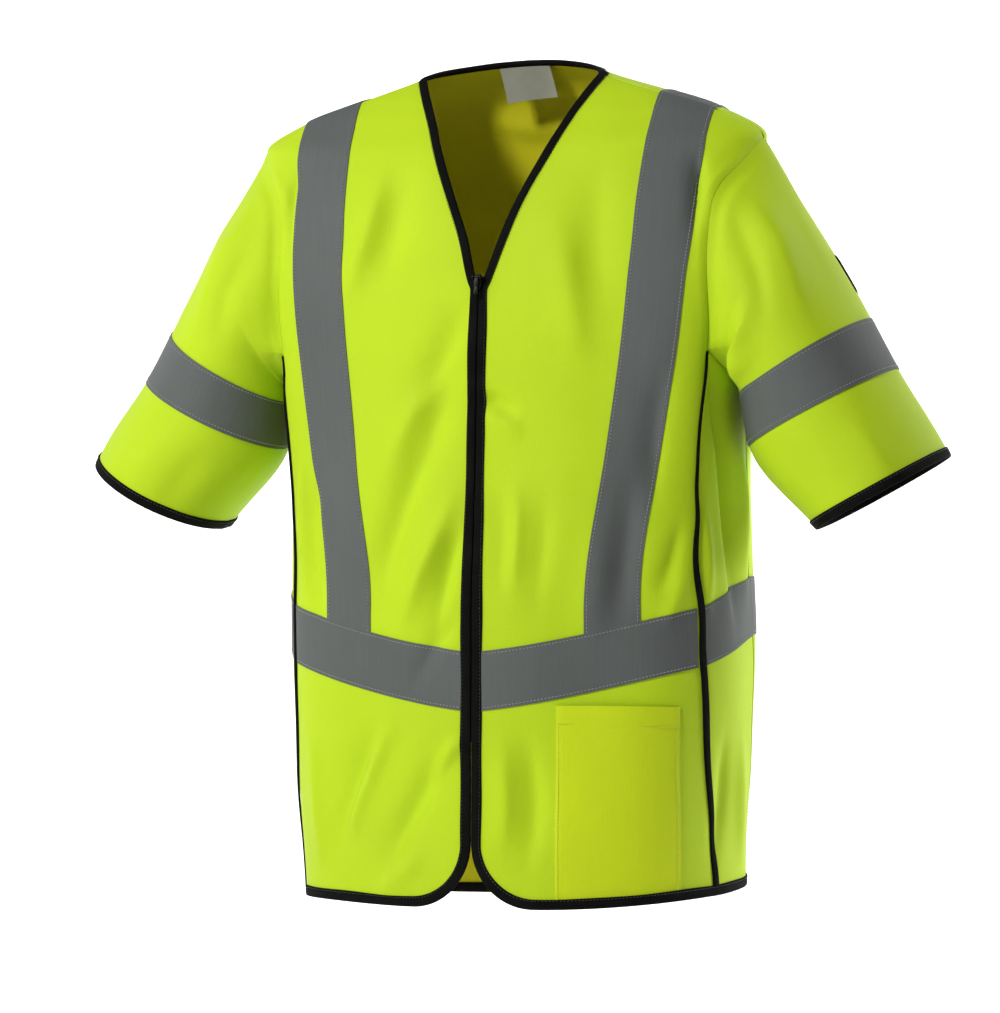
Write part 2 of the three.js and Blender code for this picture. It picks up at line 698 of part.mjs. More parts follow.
function frontBinding() {
  const trimmed = inset(fullFront, { top: half, finish: half });
  const firstFull = lowerRows.findIndex((level) => level > hemLevel + cornerRadius + 1) + 1;
  const down = trimmed.slice(firstFull).reverse().map((row) => ({ edge: row[0], inner: row[column.bind] }));
  const corner = cornerShares.map(cornerStation);
  const hem = rowBinding(trimmed[0], trimmed[1]).slice(column.pocketLeft);
  return [...down, ...corner, ...hem];
}

// A binding along one border row of a grid; the row before it gives the way in.
function rowBinding(edges, inners) {
  return edges.map((edge, j) => {
    const way = inners[j].point.clone().sub(edge.point).setLength(bindingWidth);
    return { edge, inner: { point: edge.point.clone().add(way), normal: inners[j].normal } };
  });
}

// Draws both ends of a run of stations in along it, clear of the next binding.
function shortened(stations, distance) {
  const toward = (station, next) => {
    const share = distance / station.edge.point.distanceTo(next.edge.point);
    const mix = (from, to) => ({ point: from.point.clone().lerp(to.point, share), normal: from.normal });
    return { edge: mix(station.edge, next.edge), inner: mix(station.inner, next.inner) };
  };
  const end = stations.length - 1;
  return [toward(stations[0], stations[1]), ...stations.slice(1, -1), toward(stations[end], stations[end - 1])];
}

function addBindings() {
  addPair('binding_front', channel(frontBinding()), 'black');
  const side = inset(sideTopGrid, { start: half, finish: half });
  addPair('binding_side', channel(rowBinding(side[0], side[1])), 'black');
  const back = inset(fullBack, { start: half, finish: half });
  add('binding_back', channel(rowBinding(back[0], back[1])), 'black');
  const cuff = rowBinding(fullSleeve[0], fullSleeve[1]);
  addPair('binding_cuff', channel(cuff, true), 'black');
  const last = fullBack.length - 1;
  const neckColumns = fullBack[last].map((_, j) => j)
    .filter((j) => Math.abs(fullBack[last][j].point.x) < neckHalf + 0.01);
  const neck = neckColumns.map((j) => ({ edge: fullBack[last][j], inner: fullBack[last - 1][j] }));
  add('binding_neck', channel(shortened(neck, neckBindingEnd).reverse(), false, [underFace]), 'black');
}

// ---- Pocket, open at its top ----
function pocketTopLevel(x) {
  let nominal = pocket.top;
  for (let k = 0; k < 6; k += 1) nominal = pocket.top - frontRise(x) * riseWeight(nominal);
  return nominal;
}

function addPocket() {
  const columns = frontColumns.slice(column.pocketLeft, column.pocketRight + 1);
  const bottom = hemLevel + bindingWidth + 1;
  const grid = [0, 0.25, 0.5, 0.75, 1].map((share) => columns.map((line) => {
    const x = line.lineAt(hemLevel);
    return frontPlace(x, bottom + (pocketTopLevel(x) - bottom) * share);
  }));
  add('pocket', wall(grid, pocket.gap + pocket.wall, pocket.gap), 'pocket');
}

// ---- Zip ----
const zip = { chainHalf: 2.6, tapeEdge: 15, tapeWall: 0.6, chainDepth: 2.2, meet: 0.15, top: -187.5 };
const zipDepth = clothWall + bindingGap + bindingWall + layerGap;

function addZip() {
  const aboveChest = chestLevel + (edgeColumn.top - chestLevel) * upperRows[0];
  const levels = [zipBottom, ...lowerRows.filter((level) => level > zipBottom), aboveChest];
  const outline = [[zip.meet, 0], [zip.tapeEdge, 0], [zip.tapeEdge, zip.tapeWall],
    [zip.chainHalf, zip.tapeWall], [zip.chainHalf, zip.chainDepth], [zip.meet, zip.chainDepth]];
  const nextRow = chestLevel + (edgeColumn.top - chestLevel) * upperRows[1];
  const share = (zip.top - aboveChest) / (nextRow - aboveChest);
  const at = (level) => outline.map(([x, depth]) => offset(frontPlace(x, level), -zipDepth - depth));
  const topStation = at(aboveChest).map((point, k) => point.lerp(at(nextRow)[k], share));
  const stations = [...levels.map(at), topStation];
  const swept = sweep(stations);
  const last = (swept.count - 1) * swept.size;
  [[0, 1, 2], [0, 2, 3], [0, 3, 4], [0, 4, 5]].forEach(([a, b, c]) => {
    swept.index.push(a, c, b);
    swept.index.push(last + a, last + b, last + c);
  });
  addPair('zip', geometryOf(swept.positions, swept.index), 'zip');
}

// The slider rides at the top of the chain: a front plate and a back plate joined by a post that stands in
// the groove between the two bindings. Two lugs on its front hold the pin that the pull tab swings on.
const slider = { width: 7.6, length: 12, plate: 1.3, post: 1.1, gap: 0.35, lug: 1, lugHeight: 4.4, lugTop: 0.6,
  lugLength: 4, pin: 0.6 };
const pull = { width: 3.8, eye: 1.7, hole: 0.95, length: 15, plate: 1.1 };
const sliderFront = bindingGap + bindingWall + slider.gap;
const sliderBack = -zipDepth - zip.chainDepth - slider.gap;
const pinOut = sliderFront + slider.plate + pull.eye + seamGap;
const pinLevel = slider.length / 2 - slider.lugTop - slider.lugLength / 2;
const sliderPlace = frontPlace(0, zipTop);
const lean = Math.atan2(-sliderPlace.normal.z, -sliderPlace.normal.y);

// Puts a piece modelled with x across, -y outwards and z along the zip at the top of the chain.
function seat(geometry) {
  geometry.rotateX(lean);
  geometry.translate(...sliderPlace.point.toArray());
  return geometry;
}

function block(width, from, to, bottom, top, x = 0) {
  const box = new THREE.BoxGeometry(width, to - from, top - bottom);
  box.translate(x, -(from + to) / 2, (bottom + top) / 2);
  return box;
}

function solidOf(geometry) {
  const bare = geometry.clone();
  bare.deleteAttribute('normal');
  bare.deleteAttribute('uv');
  const merged = mergeVertices(bare, 1e-4);
  return new wasm.Manifold(new wasm.Mesh({
    numProp: 3,
    vertProperties: new Float32Array(merged.attributes.position.array),
    triVerts: new Uint32Array(merged.index.array),
  }));
}

function joined(geometries) {
  const solids = geometries.map(solidOf);
  const mesh = solids.slice(1).reduce((sum, solid) => sum.add(solid), solids[0]).getMesh();
  return geometryOf(Array.from(mesh.vertProperties), Array.from(mesh.triVerts));
}

function addSlider() {
  const low = -slider.length / 2;
  const high = slider.length / 2;
  const lugX = slider.width / 2 - slider.lug / 2;
  const front = block(slider.width, sliderFront, sliderFront + slider.plate, low, high);
  const back = block(slider.width, sliderBack - slider.plate, sliderBack, low, high);
  const post = block(slider.post, sliderBack - slider.plate / 2, sliderFront + slider.plate / 2, low, high);
  const lugs = [-lugX, lugX].map((x) => {
    const from = sliderFront + slider.plate / 2;
    const top = high - slider.lugTop;
    const to = sliderFront + slider.plate + slider.lugHeight;
    return block(slider.lug, from, to, top - slider.lugLength, top, x);
  });
  const pin = new THREE.CylinderGeometry(slider.pin, slider.pin, slider.width - slider.lug, 12);
  pin.rotateZ(quarter);
  pin.translate(0, -pinOut, pinLevel);
  add('zip_slider', seat(joined([front, back, post, ...lugs, pin])), 'slider');
}

function addPull() {
  const shape = new THREE.Shape();
  const inner = pull.eye;
  const outer = pull.eye - pull.plate;
  shape.moveTo(inner, -pull.length);
  shape.lineTo(inner, 0);
  shape.absarc(0, 0, pull.eye, 0, Math.PI + 0.9, false);
  shape.lineTo(outer, -pull.eye * 1.15);
  shape.lineTo(outer, -pull.length);
  const hole = new THREE.Path();
  hole.absarc(0, 0, pull.hole, 0, 2 * Math.PI, true);
  shape.holes.push(hole);
  const tab = new THREE.ExtrudeGeometry(shape, { depth: pull.width, bevelEnabled: false, curveSegments: 16 });
  tab.translate(0, 0, -pull.width / 2);
  tab.rotateY(quarter);
  tab.rotateX(quarter);
  tab.rotateZ(Math.PI);
  tab.translate(0, -pinOut, pinLevel);
  add('zip_pull', seat(tab), 'slider');
}

// ---- Blank label at the back of the neck, and blank patch on the left sleeve ----
const label = { left: -26, right: 20, drop: 32, wall: 0.5, sway: 3, below: 3 };

function addLabel() {
  const behind = clothWall + bindingGap + bindingWall + 2 * layerGap;
  const columns = [0, 0.25, 0.5, 0.75, 1].map((share) => label.left + (label.right - label.left) * share);
  const tops = columns.map((x) => {
    const level = neckLevel(Math.abs(x)) - label.below;
    const at = place((height) => angleAt(Math.abs(x), height, true), 0, level);
    const node = x < 0 ? flipNode(at) : at;
    return offset(node, -behind);
  });
  const grid = [1, 0.5, 0].map((down) => tops.map((top) => ({
    point: top.clone().add(new THREE.Vector3(0, label.sway * down * down, -label.drop * down)),
    normal: new THREE.Vector3(0, -1, 0),
  })));
  add('neck_label', wall(grid, 0, -label.wall), 'label');
}

function addPatch() {
  const rows = fullSleeve.slice(sleeveLast - sleevePatch.bottom, sleeveLast - sleevePatch.top + 1);
  const grid = rows.map((row) => row.slice(0, sleevePatch.around + 1));
  add('sleeve_patch', wall(grid, layerGap + sleevePatch.wall, layerGap), 'black');
}

addPanels();
addTapes();
addPiping();
addBindings();
addPocket();
addZip();
addSlider();
addPull();
addLabel();
addPatch();

export default vest;
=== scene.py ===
"""A short-sleeved, zip-fronted safety vest, filled out as on its wearer, on the frame of its CAD model."""
import math

import bpy
import numpy as np
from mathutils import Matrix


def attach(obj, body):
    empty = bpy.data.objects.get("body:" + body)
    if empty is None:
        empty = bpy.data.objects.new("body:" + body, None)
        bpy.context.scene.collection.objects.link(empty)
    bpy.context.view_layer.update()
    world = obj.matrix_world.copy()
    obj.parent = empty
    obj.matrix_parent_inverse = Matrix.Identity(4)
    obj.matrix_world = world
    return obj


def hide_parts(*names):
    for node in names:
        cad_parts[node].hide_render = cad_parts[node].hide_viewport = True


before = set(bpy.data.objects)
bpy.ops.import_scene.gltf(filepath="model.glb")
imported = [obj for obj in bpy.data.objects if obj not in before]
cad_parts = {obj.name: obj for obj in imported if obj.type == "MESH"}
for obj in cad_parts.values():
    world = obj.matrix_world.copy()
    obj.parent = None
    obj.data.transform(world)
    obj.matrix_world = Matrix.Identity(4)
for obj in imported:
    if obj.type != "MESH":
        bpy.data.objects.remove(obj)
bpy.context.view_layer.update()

# ---- Driving dimensions, in millimetres as in the CAD source; meshes are made in metres ----
MM = 0.001
CLOTH_WALL = 1.2
TAPE_WALL = 0.6
BINDING_WALL = 0.8
LAYER_GAP = 0.35
BINDING_GAP = 0.45
BINDING_WIDTH = 7.6
CUFF_BINDING = 6.2
PIPING_HALF = 3.4
FRONT_EDGE = 1.7
NECK_HALF = 80
NECK_BACK = 10
SHOULDER_TIP = (225, -56.5)
CHEST = -240
ARMPIT = -262
WAIST_TOP = -495
WAIST_BOTTOM = -545
HEM = -708
HEM_DROP, HEM_DROP_REACH = 21, 0.4
CORNER = 52
ZIP_TOP = -181
ZIP_BOTTOM = -571
POCKET = {"left": 71, "right": 167, "top": -540, "hem": 15}
RISE = {"front": 38, "side": 62, "back": 57, "seam_x": 184, "power": 1.35}
HEM_SAG = 3
QUARTER = math.pi / 2
GIRTH = 200

# Rings of the form: level, half-width, depth before and behind the side line, the side line's y,
# squareness of the front at its middle and at its seam, squareness of the back, and tilt.
RINGS = [
    (-730, 194, 156, 106, 28, 2.1, 2.4, 2.3, 0),
    (-665, 195, 156, 106, 28, 2.1, 2.4, 2.3, 0),
    (-589, 199, 155, 108, 29, 2.0, 2.5, 2.3, 0),
    (-460, 203, 156, 110, 28, 2.0, 2.7, 2.3, 0),
    (-336, 202, 144, 110, 26, 2.4, 3.3, 2.3, 0),
    (-262, 202, 132, 112, 20, 2.4, 3.8, 2.3, 0),
    (-181, 208, 113, 116, 6, 2.3, 3.8, 2.3, 0.02),
    (-142, 214, 98, 117, 0, 2.3, 3.4, 2.3, 0.05),
    (-111, 220, 84, 115, -7, 2.3, 3.0, 2.3, 0.08),
    (-56.5, 225, 52, 105, -15, 2.2, 2.4, 2.3, 0.16),
    (-30.2, 184, 26, 98, -20, 2.2, 2.3, 2.3, 0.19),
    (-14.2, 135, 16, 83, -16, 2.2, 2.3, 2.3, 0.2),
    (0.6, 86, 9.5, 61.5, -9, 2.2, 2.2, 2.3, 0.2),
    (10, 62.5, 5, 40, -7, 2.2, 2.2, 2.3, 0.2),
]

# Sections of the left sleeve: station, then the outer end's x and z, the inner end's x and z,
# half-depth, y, and how far the front hangs below the back.
SLEEVE_SECTIONS = [
    (0.35, 260, -123, 203.6, -268, 76, -6, 0),
    (0.55, 299, -186, 204.6, -274, 76, -6, 2),
    (0.63, 315, -214, 205.8, -281, 76, -6, 3),
    (0.75, 339, -257, 213, -322, 76, -6, 4),
    (0.982, 379.3, -324.7, 266.6, -386.7, 72, -8, 6),
    (1, 382, -330, 271, -391.5, 72, -8, 6),
]


# ---- Smooth interpolation ----
def smooth(xs, ys):
    """A curve through ys at xs that never overshoots, and runs straight beyond its ends."""
    xs, ys = np.asarray(xs, float), np.asarray(ys, float)
    steps = np.diff(xs)
    wide = steps.reshape(-1, *[1] * (ys.ndim - 1))
    rates = np.diff(ys, axis=0) / wide
    before = 2 * wide[1:] + wide[:-1]
    after = wide[1:] + 2 * wide[:-1]
    same = rates[:-1] * rates[1:] > 0
    first, second = np.where(same, rates[:-1], 1), np.where(same, rates[1:], 1)
    slopes = np.concatenate([rates[:1], rates[-1:]])
    inner = np.where(same, (before + after) / (before / first + after / second), 0)
    slopes = np.concatenate([slopes[:1], inner, slopes[1:]])

    def at(x):
        x = np.asarray(x, float)
        k = np.clip(np.searchsorted(xs, x) - 1, 0, len(xs) - 2)
        shape = x.shape + (1,) * (ys.ndim - 1)
        step = steps[k].reshape(shape)
        inside = np.clip(x, xs[0], xs[-1])
        s = ((inside - xs[k]) / steps[k]).reshape(shape)
        lead = s * s * (3 - 2 * s)
        value = ys[k] * (1 - lead) + ys[k + 1] * lead
        value = value + step * s * (1 - s) * (slopes[k] * (1 - s) - slopes[k + 1] * s)
        beyond = (x - inside).reshape(shape)
        return value + beyond * np.where(beyond > 0, slopes[-1], slopes[0])

    return at


def table(*rows):
    rows = sorted(rows)
    return smooth([row[0] for row in rows], [row[1] for row in rows])


def smoothstep(x, low, high):
    s = np.clip((x - low) / (high - low), 0, 1)
    return s * s * (3 - 2 * s)


RING_CURVE = smooth([row[0] for row in RINGS], [row[1:] for row in RINGS])


def ridge_level(x):
    """The level where the shoulder's ridge, a quarter turn round, stands at x."""
    x = np.asarray(x, float)
    low, high = np.full(x.shape, float(SHOULDER_TIP[1])), np.full(x.shape, float(NECK_BACK))
    for _ in range(40):
        middle = (low + high) / 2
        wide = RING_CURVE(middle)[..., 0] > x
        low, high = np.where(wide, middle, low), np.where(wide, high, middle)
    return low


NECK_POINT = float(ridge_level(NECK_HALF))

# ---- Lines on the form: x, or an angle in degrees, against level ----
neck_line = table((-730, FRONT_EDGE), (ZIP_TOP - 6, FRONT_EDGE), (ZIP_TOP + 2, 4.5), (-142, 15),
                  (-111, 26), (-66, 44), (-29, 61), (NECK_POINT, NECK_HALF))
brace_inner = table((-730, 94), (-480, 94), (-336, 110), (-193, 126), (-106, 131), (-20, 135))
brace_outer = table((-730, 139), (-480, 139), (-336, 155), (-193, 173), (-106, 181), (-41, 184))
front_seam = table((-730, 187), (-665, 187), (-589, 184), (-460, 181), (-336, 183), (CHEST, 190))
front_armhole = table((CHEST, 190), (-200, 191), (-150, 190), (-113, 192), (-95, 198), (-76, 212),
                      SHOULDER_TIP[::-1])
side_seam = table((-730, 106), (-594, 96), (-460, 89), (ARMPIT, 90))
back_armhole = table((-245, 199), (-215, 197), (-170, 197), (-130, 202), (-95, 211), (-76, 219),
                     SHOULDER_TIP[::-1])
drop_weight = table((-730, 1), (HEM, 1), (-650, 0.4), (WAIST_BOTTOM - 5, 0), (40, 0))
sag_weight = table((-730, 1), (HEM, 1), (-640, 0.4), (-590, 0), (40, 0))
rise_weight = table((-730, 0.15), (HEM, 0.15), (WAIST_BOTTOM, 1), (WAIST_TOP, 1), (ARMPIT, 0), (40, 0))


def neck_level(x):
    return NECK_BACK + (NECK_POINT - NECK_BACK) * (x / NECK_HALF) ** 2


def front_rise(x):
    return RISE["front"] * (np.abs(x) / RISE["seam_x"]) ** RISE["power"]


# ---- The form as a surface: angle 0 is centre front, a quarter turn is the side, half is the back ----
def form_point(angle, level):
    angle, level = np.broadcast_arrays(np.asarray(angle, float), np.asarray(level, float))
    half, front, back, side, flat, corner, behind, tilt = np.moveaxis(RING_CURVE(level), -1, 0)
    sin, cos = np.sin(angle), np.cos(angle)
    blend = smoothstep(np.abs(angle), math.radians(20), math.radians(60))
    square = np.where(cos > 0, flat + (corner - flat) * blend, behind)
    x = half * np.sign(sin) * np.abs(sin) ** (2 / square)
    y = side + np.where(cos > 0, -front, back) * np.abs(cos) ** (2 / square)
    return np.stack([x, y, level + tilt * y], -1)


def angle_at(x, level, behind):
    """The angle of the point at x on the front or the back, for each level."""
    x, level = np.broadcast_arrays(np.asarray(x, float), np.asarray(level, float))
    low, high = np.zeros(x.shape), np.full(x.shape, QUARTER)
    for _ in range(32):
        middle = (low + high) / 2
        short = form_point(math.pi - middle if behind else middle, level)[..., 0] < x
        low, high = np.where(short, middle, low), np.where(short, high, middle)
    return math.pi - low if behind else low


def front_place(x, nominal):
    """Angle and level on the front at x, for a nominal level that rises towards the back."""
    sag = HEM_SAG * np.sin(math.pi * np.minimum(np.abs(x) / RISE["seam_x"], 1)) * sag_weight(nominal)
    level = nominal + front_rise(x) * rise_weight(nominal) - sag
    return angle_at(x, level, False), level


def side_place(share, nominal):
    """Angle and level on the side panel, from the front seam (share 0) to the side seam (share 1)."""
    first_rise = front_rise(front_seam(nominal))
    level = nominal + (first_rise + (RISE["side"] - first_rise) * share) * rise_weight(nominal)
    first = angle_at(front_seam(nominal), level, False)
    return first + (np.radians(side_seam(nominal)) - first) * share, level


# Columns of the back from the side seam to centre back: x where each meets the top.
BACK_TOPS = (225, 204.5, 184, 159.5, 135, 106, 80, 50, 24, 0)


def back_line(j, level):
    inner, outer = brace_inner(level), brace_outer(level)
    side = np.where(level < -245, 199, back_armhole(level))
    lines = (side, (side + outer) / 2, outer, (inner + outer) / 2, inner,
             inner * 0.82, inner * 0.6, inner * 0.4, inner * 0.2, inner * 0)
    return lines[j]


def back_top(x):
    return np.where(x >= NECK_HALF, ridge_level(x), neck_level(x))


def back_columns(levels_of):
    """Angles and levels of the ten columns; levels_of gives a column's nominal levels from its top."""
    angles, levels = [], []
    last = len(BACK_TOPS) - 1
    for j, top_x in enumerate(BACK_TOPS):
        top = float(back_top(top_x))
        nominal = levels_of(top)
        level = nominal + (RISE["side"] + (RISE["back"] - RISE["side"]) * j / last) * rise_weight(nominal)
        level = level - HEM_DROP * smoothstep(j / last, 0, HEM_DROP_REACH) * drop_weight(nominal)
        to_top = smoothstep(nominal, -120, top)
        x = back_line(j, nominal) * (1 - to_top) + top_x * to_top
        angle = angle_at(x, level, True)
        if j == 0:
            angle = np.where(nominal <= ARMPIT, np.radians(side_seam(nominal)), angle)
        on_ridge = (nominal >= top - 1e-6) & (top_x >= NECK_HALF)
        angles.append(np.where(on_ridge, QUARTER, angle))
        levels.append(level)
    return np.array(angles), np.array(levels)


# ---- Creases ----
# Where it lies, height (a trough is negative), the reach on its two sides, and its points as x and
# level; a crease on the side is given by degrees round from centre front and level.
CREASES = [
    ("front", 3.2, (11, 15), [(-94, -62), (-102, -110), (-114, -160), (-124, -205)]),
    ("front", -2.8, (16, 20), [(-70, -70), (-84, -130), (-98, -185)]),
    ("front", -3.6, (11, 17), [(-10, -190), (-22, -228), (-40, -262), (-60, -290)]),
    ("front", -2.6, (12, 16), [(-16, -240), (-34, -290), (-52, -322)]),
    ("front", -4.8, (13, 16), [(-16, -272), (-42, -320), (-66, -378), (-80, -425), (-88, -470)]),
    ("front", 3.6, (10, 13), [(-10, -345), (-30, -395), (-50, -440), (-66, -482)]),
    ("front", -3.8, (8, 12), [(-12, -385), (-22, -425), (-36, -488)]),
    ("front", 2.4, (12, 14), [(-30, -250), (-60, -300), (-84, -350)]),
    ("front", 4.0, (9, 12), [(-66, -545), (-90, -589), (-112, -632), (-120, -660)]),
    ("front", -4.0, (10, 14), [(-86, -556), (-110, -608), (-138, -668)]),
    ("front", -4.4, (11, 15), [(-10, -562), (-36, -600), (-64, -645), (-92, -694)]),
    ("front", 3.6, (7, 9), [(-6, -566), (-22, -584), (-40, -612)]),
    ("front", 2.4, (11, 14), [(-40, -660), (-66, -684), (-96, -700)]),
    ("front", -2.4, (8, 12), [(-6, -462), (-34, -492), (-58, -540)]),
    ("front", -2.8, (12, 16), [(-142, -330), (-154, -400), (-148, -480)]),
    ("front", 2.6, (10, 14), [(-164, -300), (-168, -380), (-164, -460)]),
    ("front", 2.6, (12, 15), [(-164, -560), (-156, -620), (-152, -690)]),
    ("front", -2.8, (6, 9), [(6, -274), (20, -286), (40, -296)]),
    ("front", 1.8, (7, 9), [(6, -290), (24, -300), (44, -316)]),
    ("front", -1.8, (9, 12), [(19, -352), (27, -400), (26, -455)]),
    ("front", 1.9, (8, 11), [(34, -345), (38, -400), (36, -452)]),
    ("front", -1.6, (10, 14), [(58, -350), (60, -410), (56, -470)]),
    ("front", -3.2, (12, 16), [(131, -340), (128, -410), (122, -484)]),
    ("front", 2.0, (14, 18), [(108, -380), (104, -440), (100, -490)]),
    ("front", 2.4, (16, 20), [(60, -110), (80, -190), (92, -270)]),
    ("front", -2.0, (16, 22), [(92, -60), (98, -140), (108, -220)]),
    ("front", -2.6, (11, 15), [(46, -556), (54, -620), (44, -690)]),
    ("front", 2.2, (10, 14), [(26, -560), (30, -620), (24, -670)]),
    ("front", -3.6, (8, 11), [(178, -62), (181, -98), (178, -150)]),
    ("front", -3.0, (8, 12), [(-178, -62), (-182, -98), (-178, -150)]),
    ("front", -2.2, (12, 16), [(158, -250), (150, -310), (150, -380)]),
    ("front", -2.2, (8, 12), [(172, -380), (164, -420), (150, -450)]),
    ("front", 1.8, (8, 10), [(176, -420), (166, -452), (154, -478)]),
    ("side", -7.0, (17, 10), [(60, -228), (69, -285), (75, -345), (78, -420), (79, -480)]),
    ("side", 3.4, (9, 12), [(86, -310), (87, -380), (87, -460)]),
    ("side", 2.2, (9, 12), [(62, -360), (64, -420), (62, -470)]),
    ("side", -2.6, (11, 14), [(74, -560), (76, -620), (70, -690)]),
    ("side", 2.2, (10, 12), [(86, -560), (88, -630), (90, -690)]),
    ("side", -6.0, (16, 11), [(-62, -232), (-69, -290), (-72, -350), (-70, -410)]),
    ("side", -2.8, (11, 15), [(-80, -400), (-77, -470), (-82, -540)]),
    ("side", 2.6, (10, 13), [(-86, -330), (-88, -410), (-86, -480)]),
    ("back", -4.0, (18, 24), [(40, -150), (56, -230), (60, -320), (52, -400)]),
    ("back", 3.2, (15, 20), [(-28, -120), (-40, -210), (-52, -300)]),
    ("back", -4.2, (14, 19), [(-70, -210), (-64, -300), (-74, -390), (-66, -450)]),
    ("back", -3.4, (11, 16), [(10, -300), (-6, -370), (4, -440)]),
    ("back", 3.2, (13, 17), [(96, -250), (88, -330), (98, -420)]),
    ("back", -3.6, (12, 16), [(120, -520), (110, -590), (122, -680)]),
    ("back", -4.0, (13, 18), [(26, -520), (38, -600), (30, -690)]),
    ("back", 3.2, (11, 14), [(-30, -530), (-24, -610), (-40, -700)]),
    ("back", -3.4, (12, 16), [(-96, -520), (-104, -600), (-92, -690)]),
    ("back", -3.6, (10, 14), [(172, -110), (150, -165), (118, -205)]),
    ("back", -3.2, (10, 14), [(-172, -118), (-148, -174), (-110, -212)]),
    ("back", -2.2, (9, 12), [(-60, -36), (0, -52), (60, -38)]),
    ("back", -3.6, (12, 17), [(186, -270), (168, -340), (172, -430)]),
    ("back", -3.4, (11, 16), [(-186, -280), (-170, -350), (-176, -440)]),
]
# Creases of the sleeves: hand, height, reaches, and points as degrees round from the shoulder by way
# of the front, and share of the way down.
SLEEVE_CREASES = [
    (1, 8.0, (26, 26), [(104, 0.24), (120, 0.4), (130, 0.53), (137, 0.7)]),
    (1, -2.6, (15, 20), [(50, 0.08), (62, 0.2), (80, 0.36), (96, 0.52)]),
    (1, 1.6, (14, 18), [(34, 0.1), (44, 0.26), (56, 0.46), (62, 0.6)]),
    (1, -1.3, (15, 20), [(22, 0.2), (28, 0.4), (36, 0.58)]),
    (1, -1.5, (17, 22), [(104, 0.78), (112, 0.88), (108, 1.0)]),
    (1, 1.2, (17, 22), [(60, 0.8), (64, 0.9), (60, 1.0)]),
    (1, -2.6, (15, 20), [(300, 0.1), (286, 0.3), (262, 0.6)]),
    (1, 2.0, (15, 20), [(322, 0.1), (316, 0.4), (312, 0.7)]),
    (1, -1.8, (15, 20), [(338, 0.3), (334, 0.6), (330, 0.95)]),
    (1, -2.4, (15, 20), [(236, 0.3), (232, 0.6), (226, 0.9)]),
    (-1, -2.2, (15, 19), [(60, 0.12), (74, 0.26), (86, 0.42), (96, 0.56)]),
    (-1, 1.6, (14, 18), [(42, 0.12), (50, 0.26), (64, 0.46), (74, 0.58)]),
    (-1, -1.2, (15, 20), [(26, 0.16), (32, 0.36), (30, 0.58)]),
    (-1, -1.4, (16, 21), [(104, 0.8), (112, 0.9), (108, 1.0)]),
    (-1, 1.2, (16, 21), [(76, 0.78), (80, 0.88), (78, 1.0)]),
    (-1, -2.6, (16, 21), [(296, 0.1), (282, 0.3), (264, 0.58)]),
    (-1, 2.0, (16, 21), [(324, 0.12), (318, 0.4), (320, 0.7)]),
    (-1, -2.2, (16, 21), [(240, 0.35), (236, 0.65), (240, 0.95)]),
]
SLEEVE_LENGTH = 280
SLEEVE_GIRTH = 86
# The hem hangs lower and further in at the wearer's right side: middle and reach in radians, in, down.
LOW_SIDE = (-1.75, 0.85, 10.0, 13.0)
WAVE_COUNT = 26
DEEPEN = 1.9


def crease_path(points):
    points = np.asarray(points, float)
    share = np.linspace(0, 1, len(points))
    return smooth(share, points)(np.linspace(0, 1, 13))


def crease_height(q, r, path, height, reaches):
    """Height of a crease that runs along a path, fading out at its ends and to its two sides."""
    best = np.full(q.shape, 1e9)
    hand, along = np.ones(q.shape), np.zeros(q.shape)
    count = len(path) - 1
    for k in range(count):
        way = path[k + 1] - path[k]
        dq, dr = q - path[k][0], r - path[k][1]
        s = np.clip((dq * way[0] + dr * way[1]) / (way @ way), 0, 1)
        dq, dr = dq - s * way[0], dr - s * way[1]
        distance = np.hypot(dq, dr)
        nearer = distance < best
        best = np.where(nearer, distance, best)
        hand = np.where(nearer, np.sign(way[0] * dr - way[1] * dq), hand)
        along = np.where(nearer, (k + s) / count, along)
    reach = np.where(hand > 0, reaches[0], reaches[1])
    fade = smoothstep(along, -0.05, 0.42) * smoothstep(1 - along, -0.05, 0.42)
    return DEEPEN * height * fade / (1 + 0.5 * (best / reach) ** 2) ** 3


def body_path(where, points):
    if where == "side":
        return crease_path([(GIRTH * math.radians(degrees), level) for degrees, level in points])
    rows = []
    for x, level in points:
        angle = float(angle_at(abs(x), level, where == "back"))
        if x < 0:
            angle = 2 * math.pi - angle if where == "back" else -angle
        rows.append((GIRTH * angle, level))
    return crease_path(rows)


BODY_PATHS = [(where, height, reaches, body_path(where, points))
              for where, height, reaches, points in CREASES]
SLEEVE_PATHS = [
    (hand, height, reaches,
     crease_path([(SLEEVE_GIRTH * math.radians(turn), SLEEVE_LENGTH * share) for turn, share in points]))
    for hand, height, reaches, points in SLEEVE_CREASES
]


def wave_table():
    random = np.random.default_rng(11)
    ways = random.normal(size=(WAVE_COUNT, 3))
    ways /= np.linalg.norm(ways, axis=1, keepdims=True)
    lengths = random.uniform(70, 260, WAVE_COUNT)
    phases = random.uniform(0, 2 * math.pi, WAVE_COUNT)
    return ways * (2 * math.pi / lengths)[:, None], phases, lengths / 260 * 0.55


WAVES = wave_table()


def unevenness(point):
    """Slow, shallow waves that no cloth is free of."""
    ways, phases, heights = WAVES
    return (np.sin(point @ ways.T + phases) * heights).sum(-1)


def form(angle, level):
    point = form_point(np.abs(angle), level)
    point[..., 0] *= np.where(np.asarray(angle) < 0, -1, 1)
    return point


def cross_normal(across, up):
    normal = np.cross(across, up)
    return normal / np.linalg.norm(normal, axis=-1, keepdims=True)


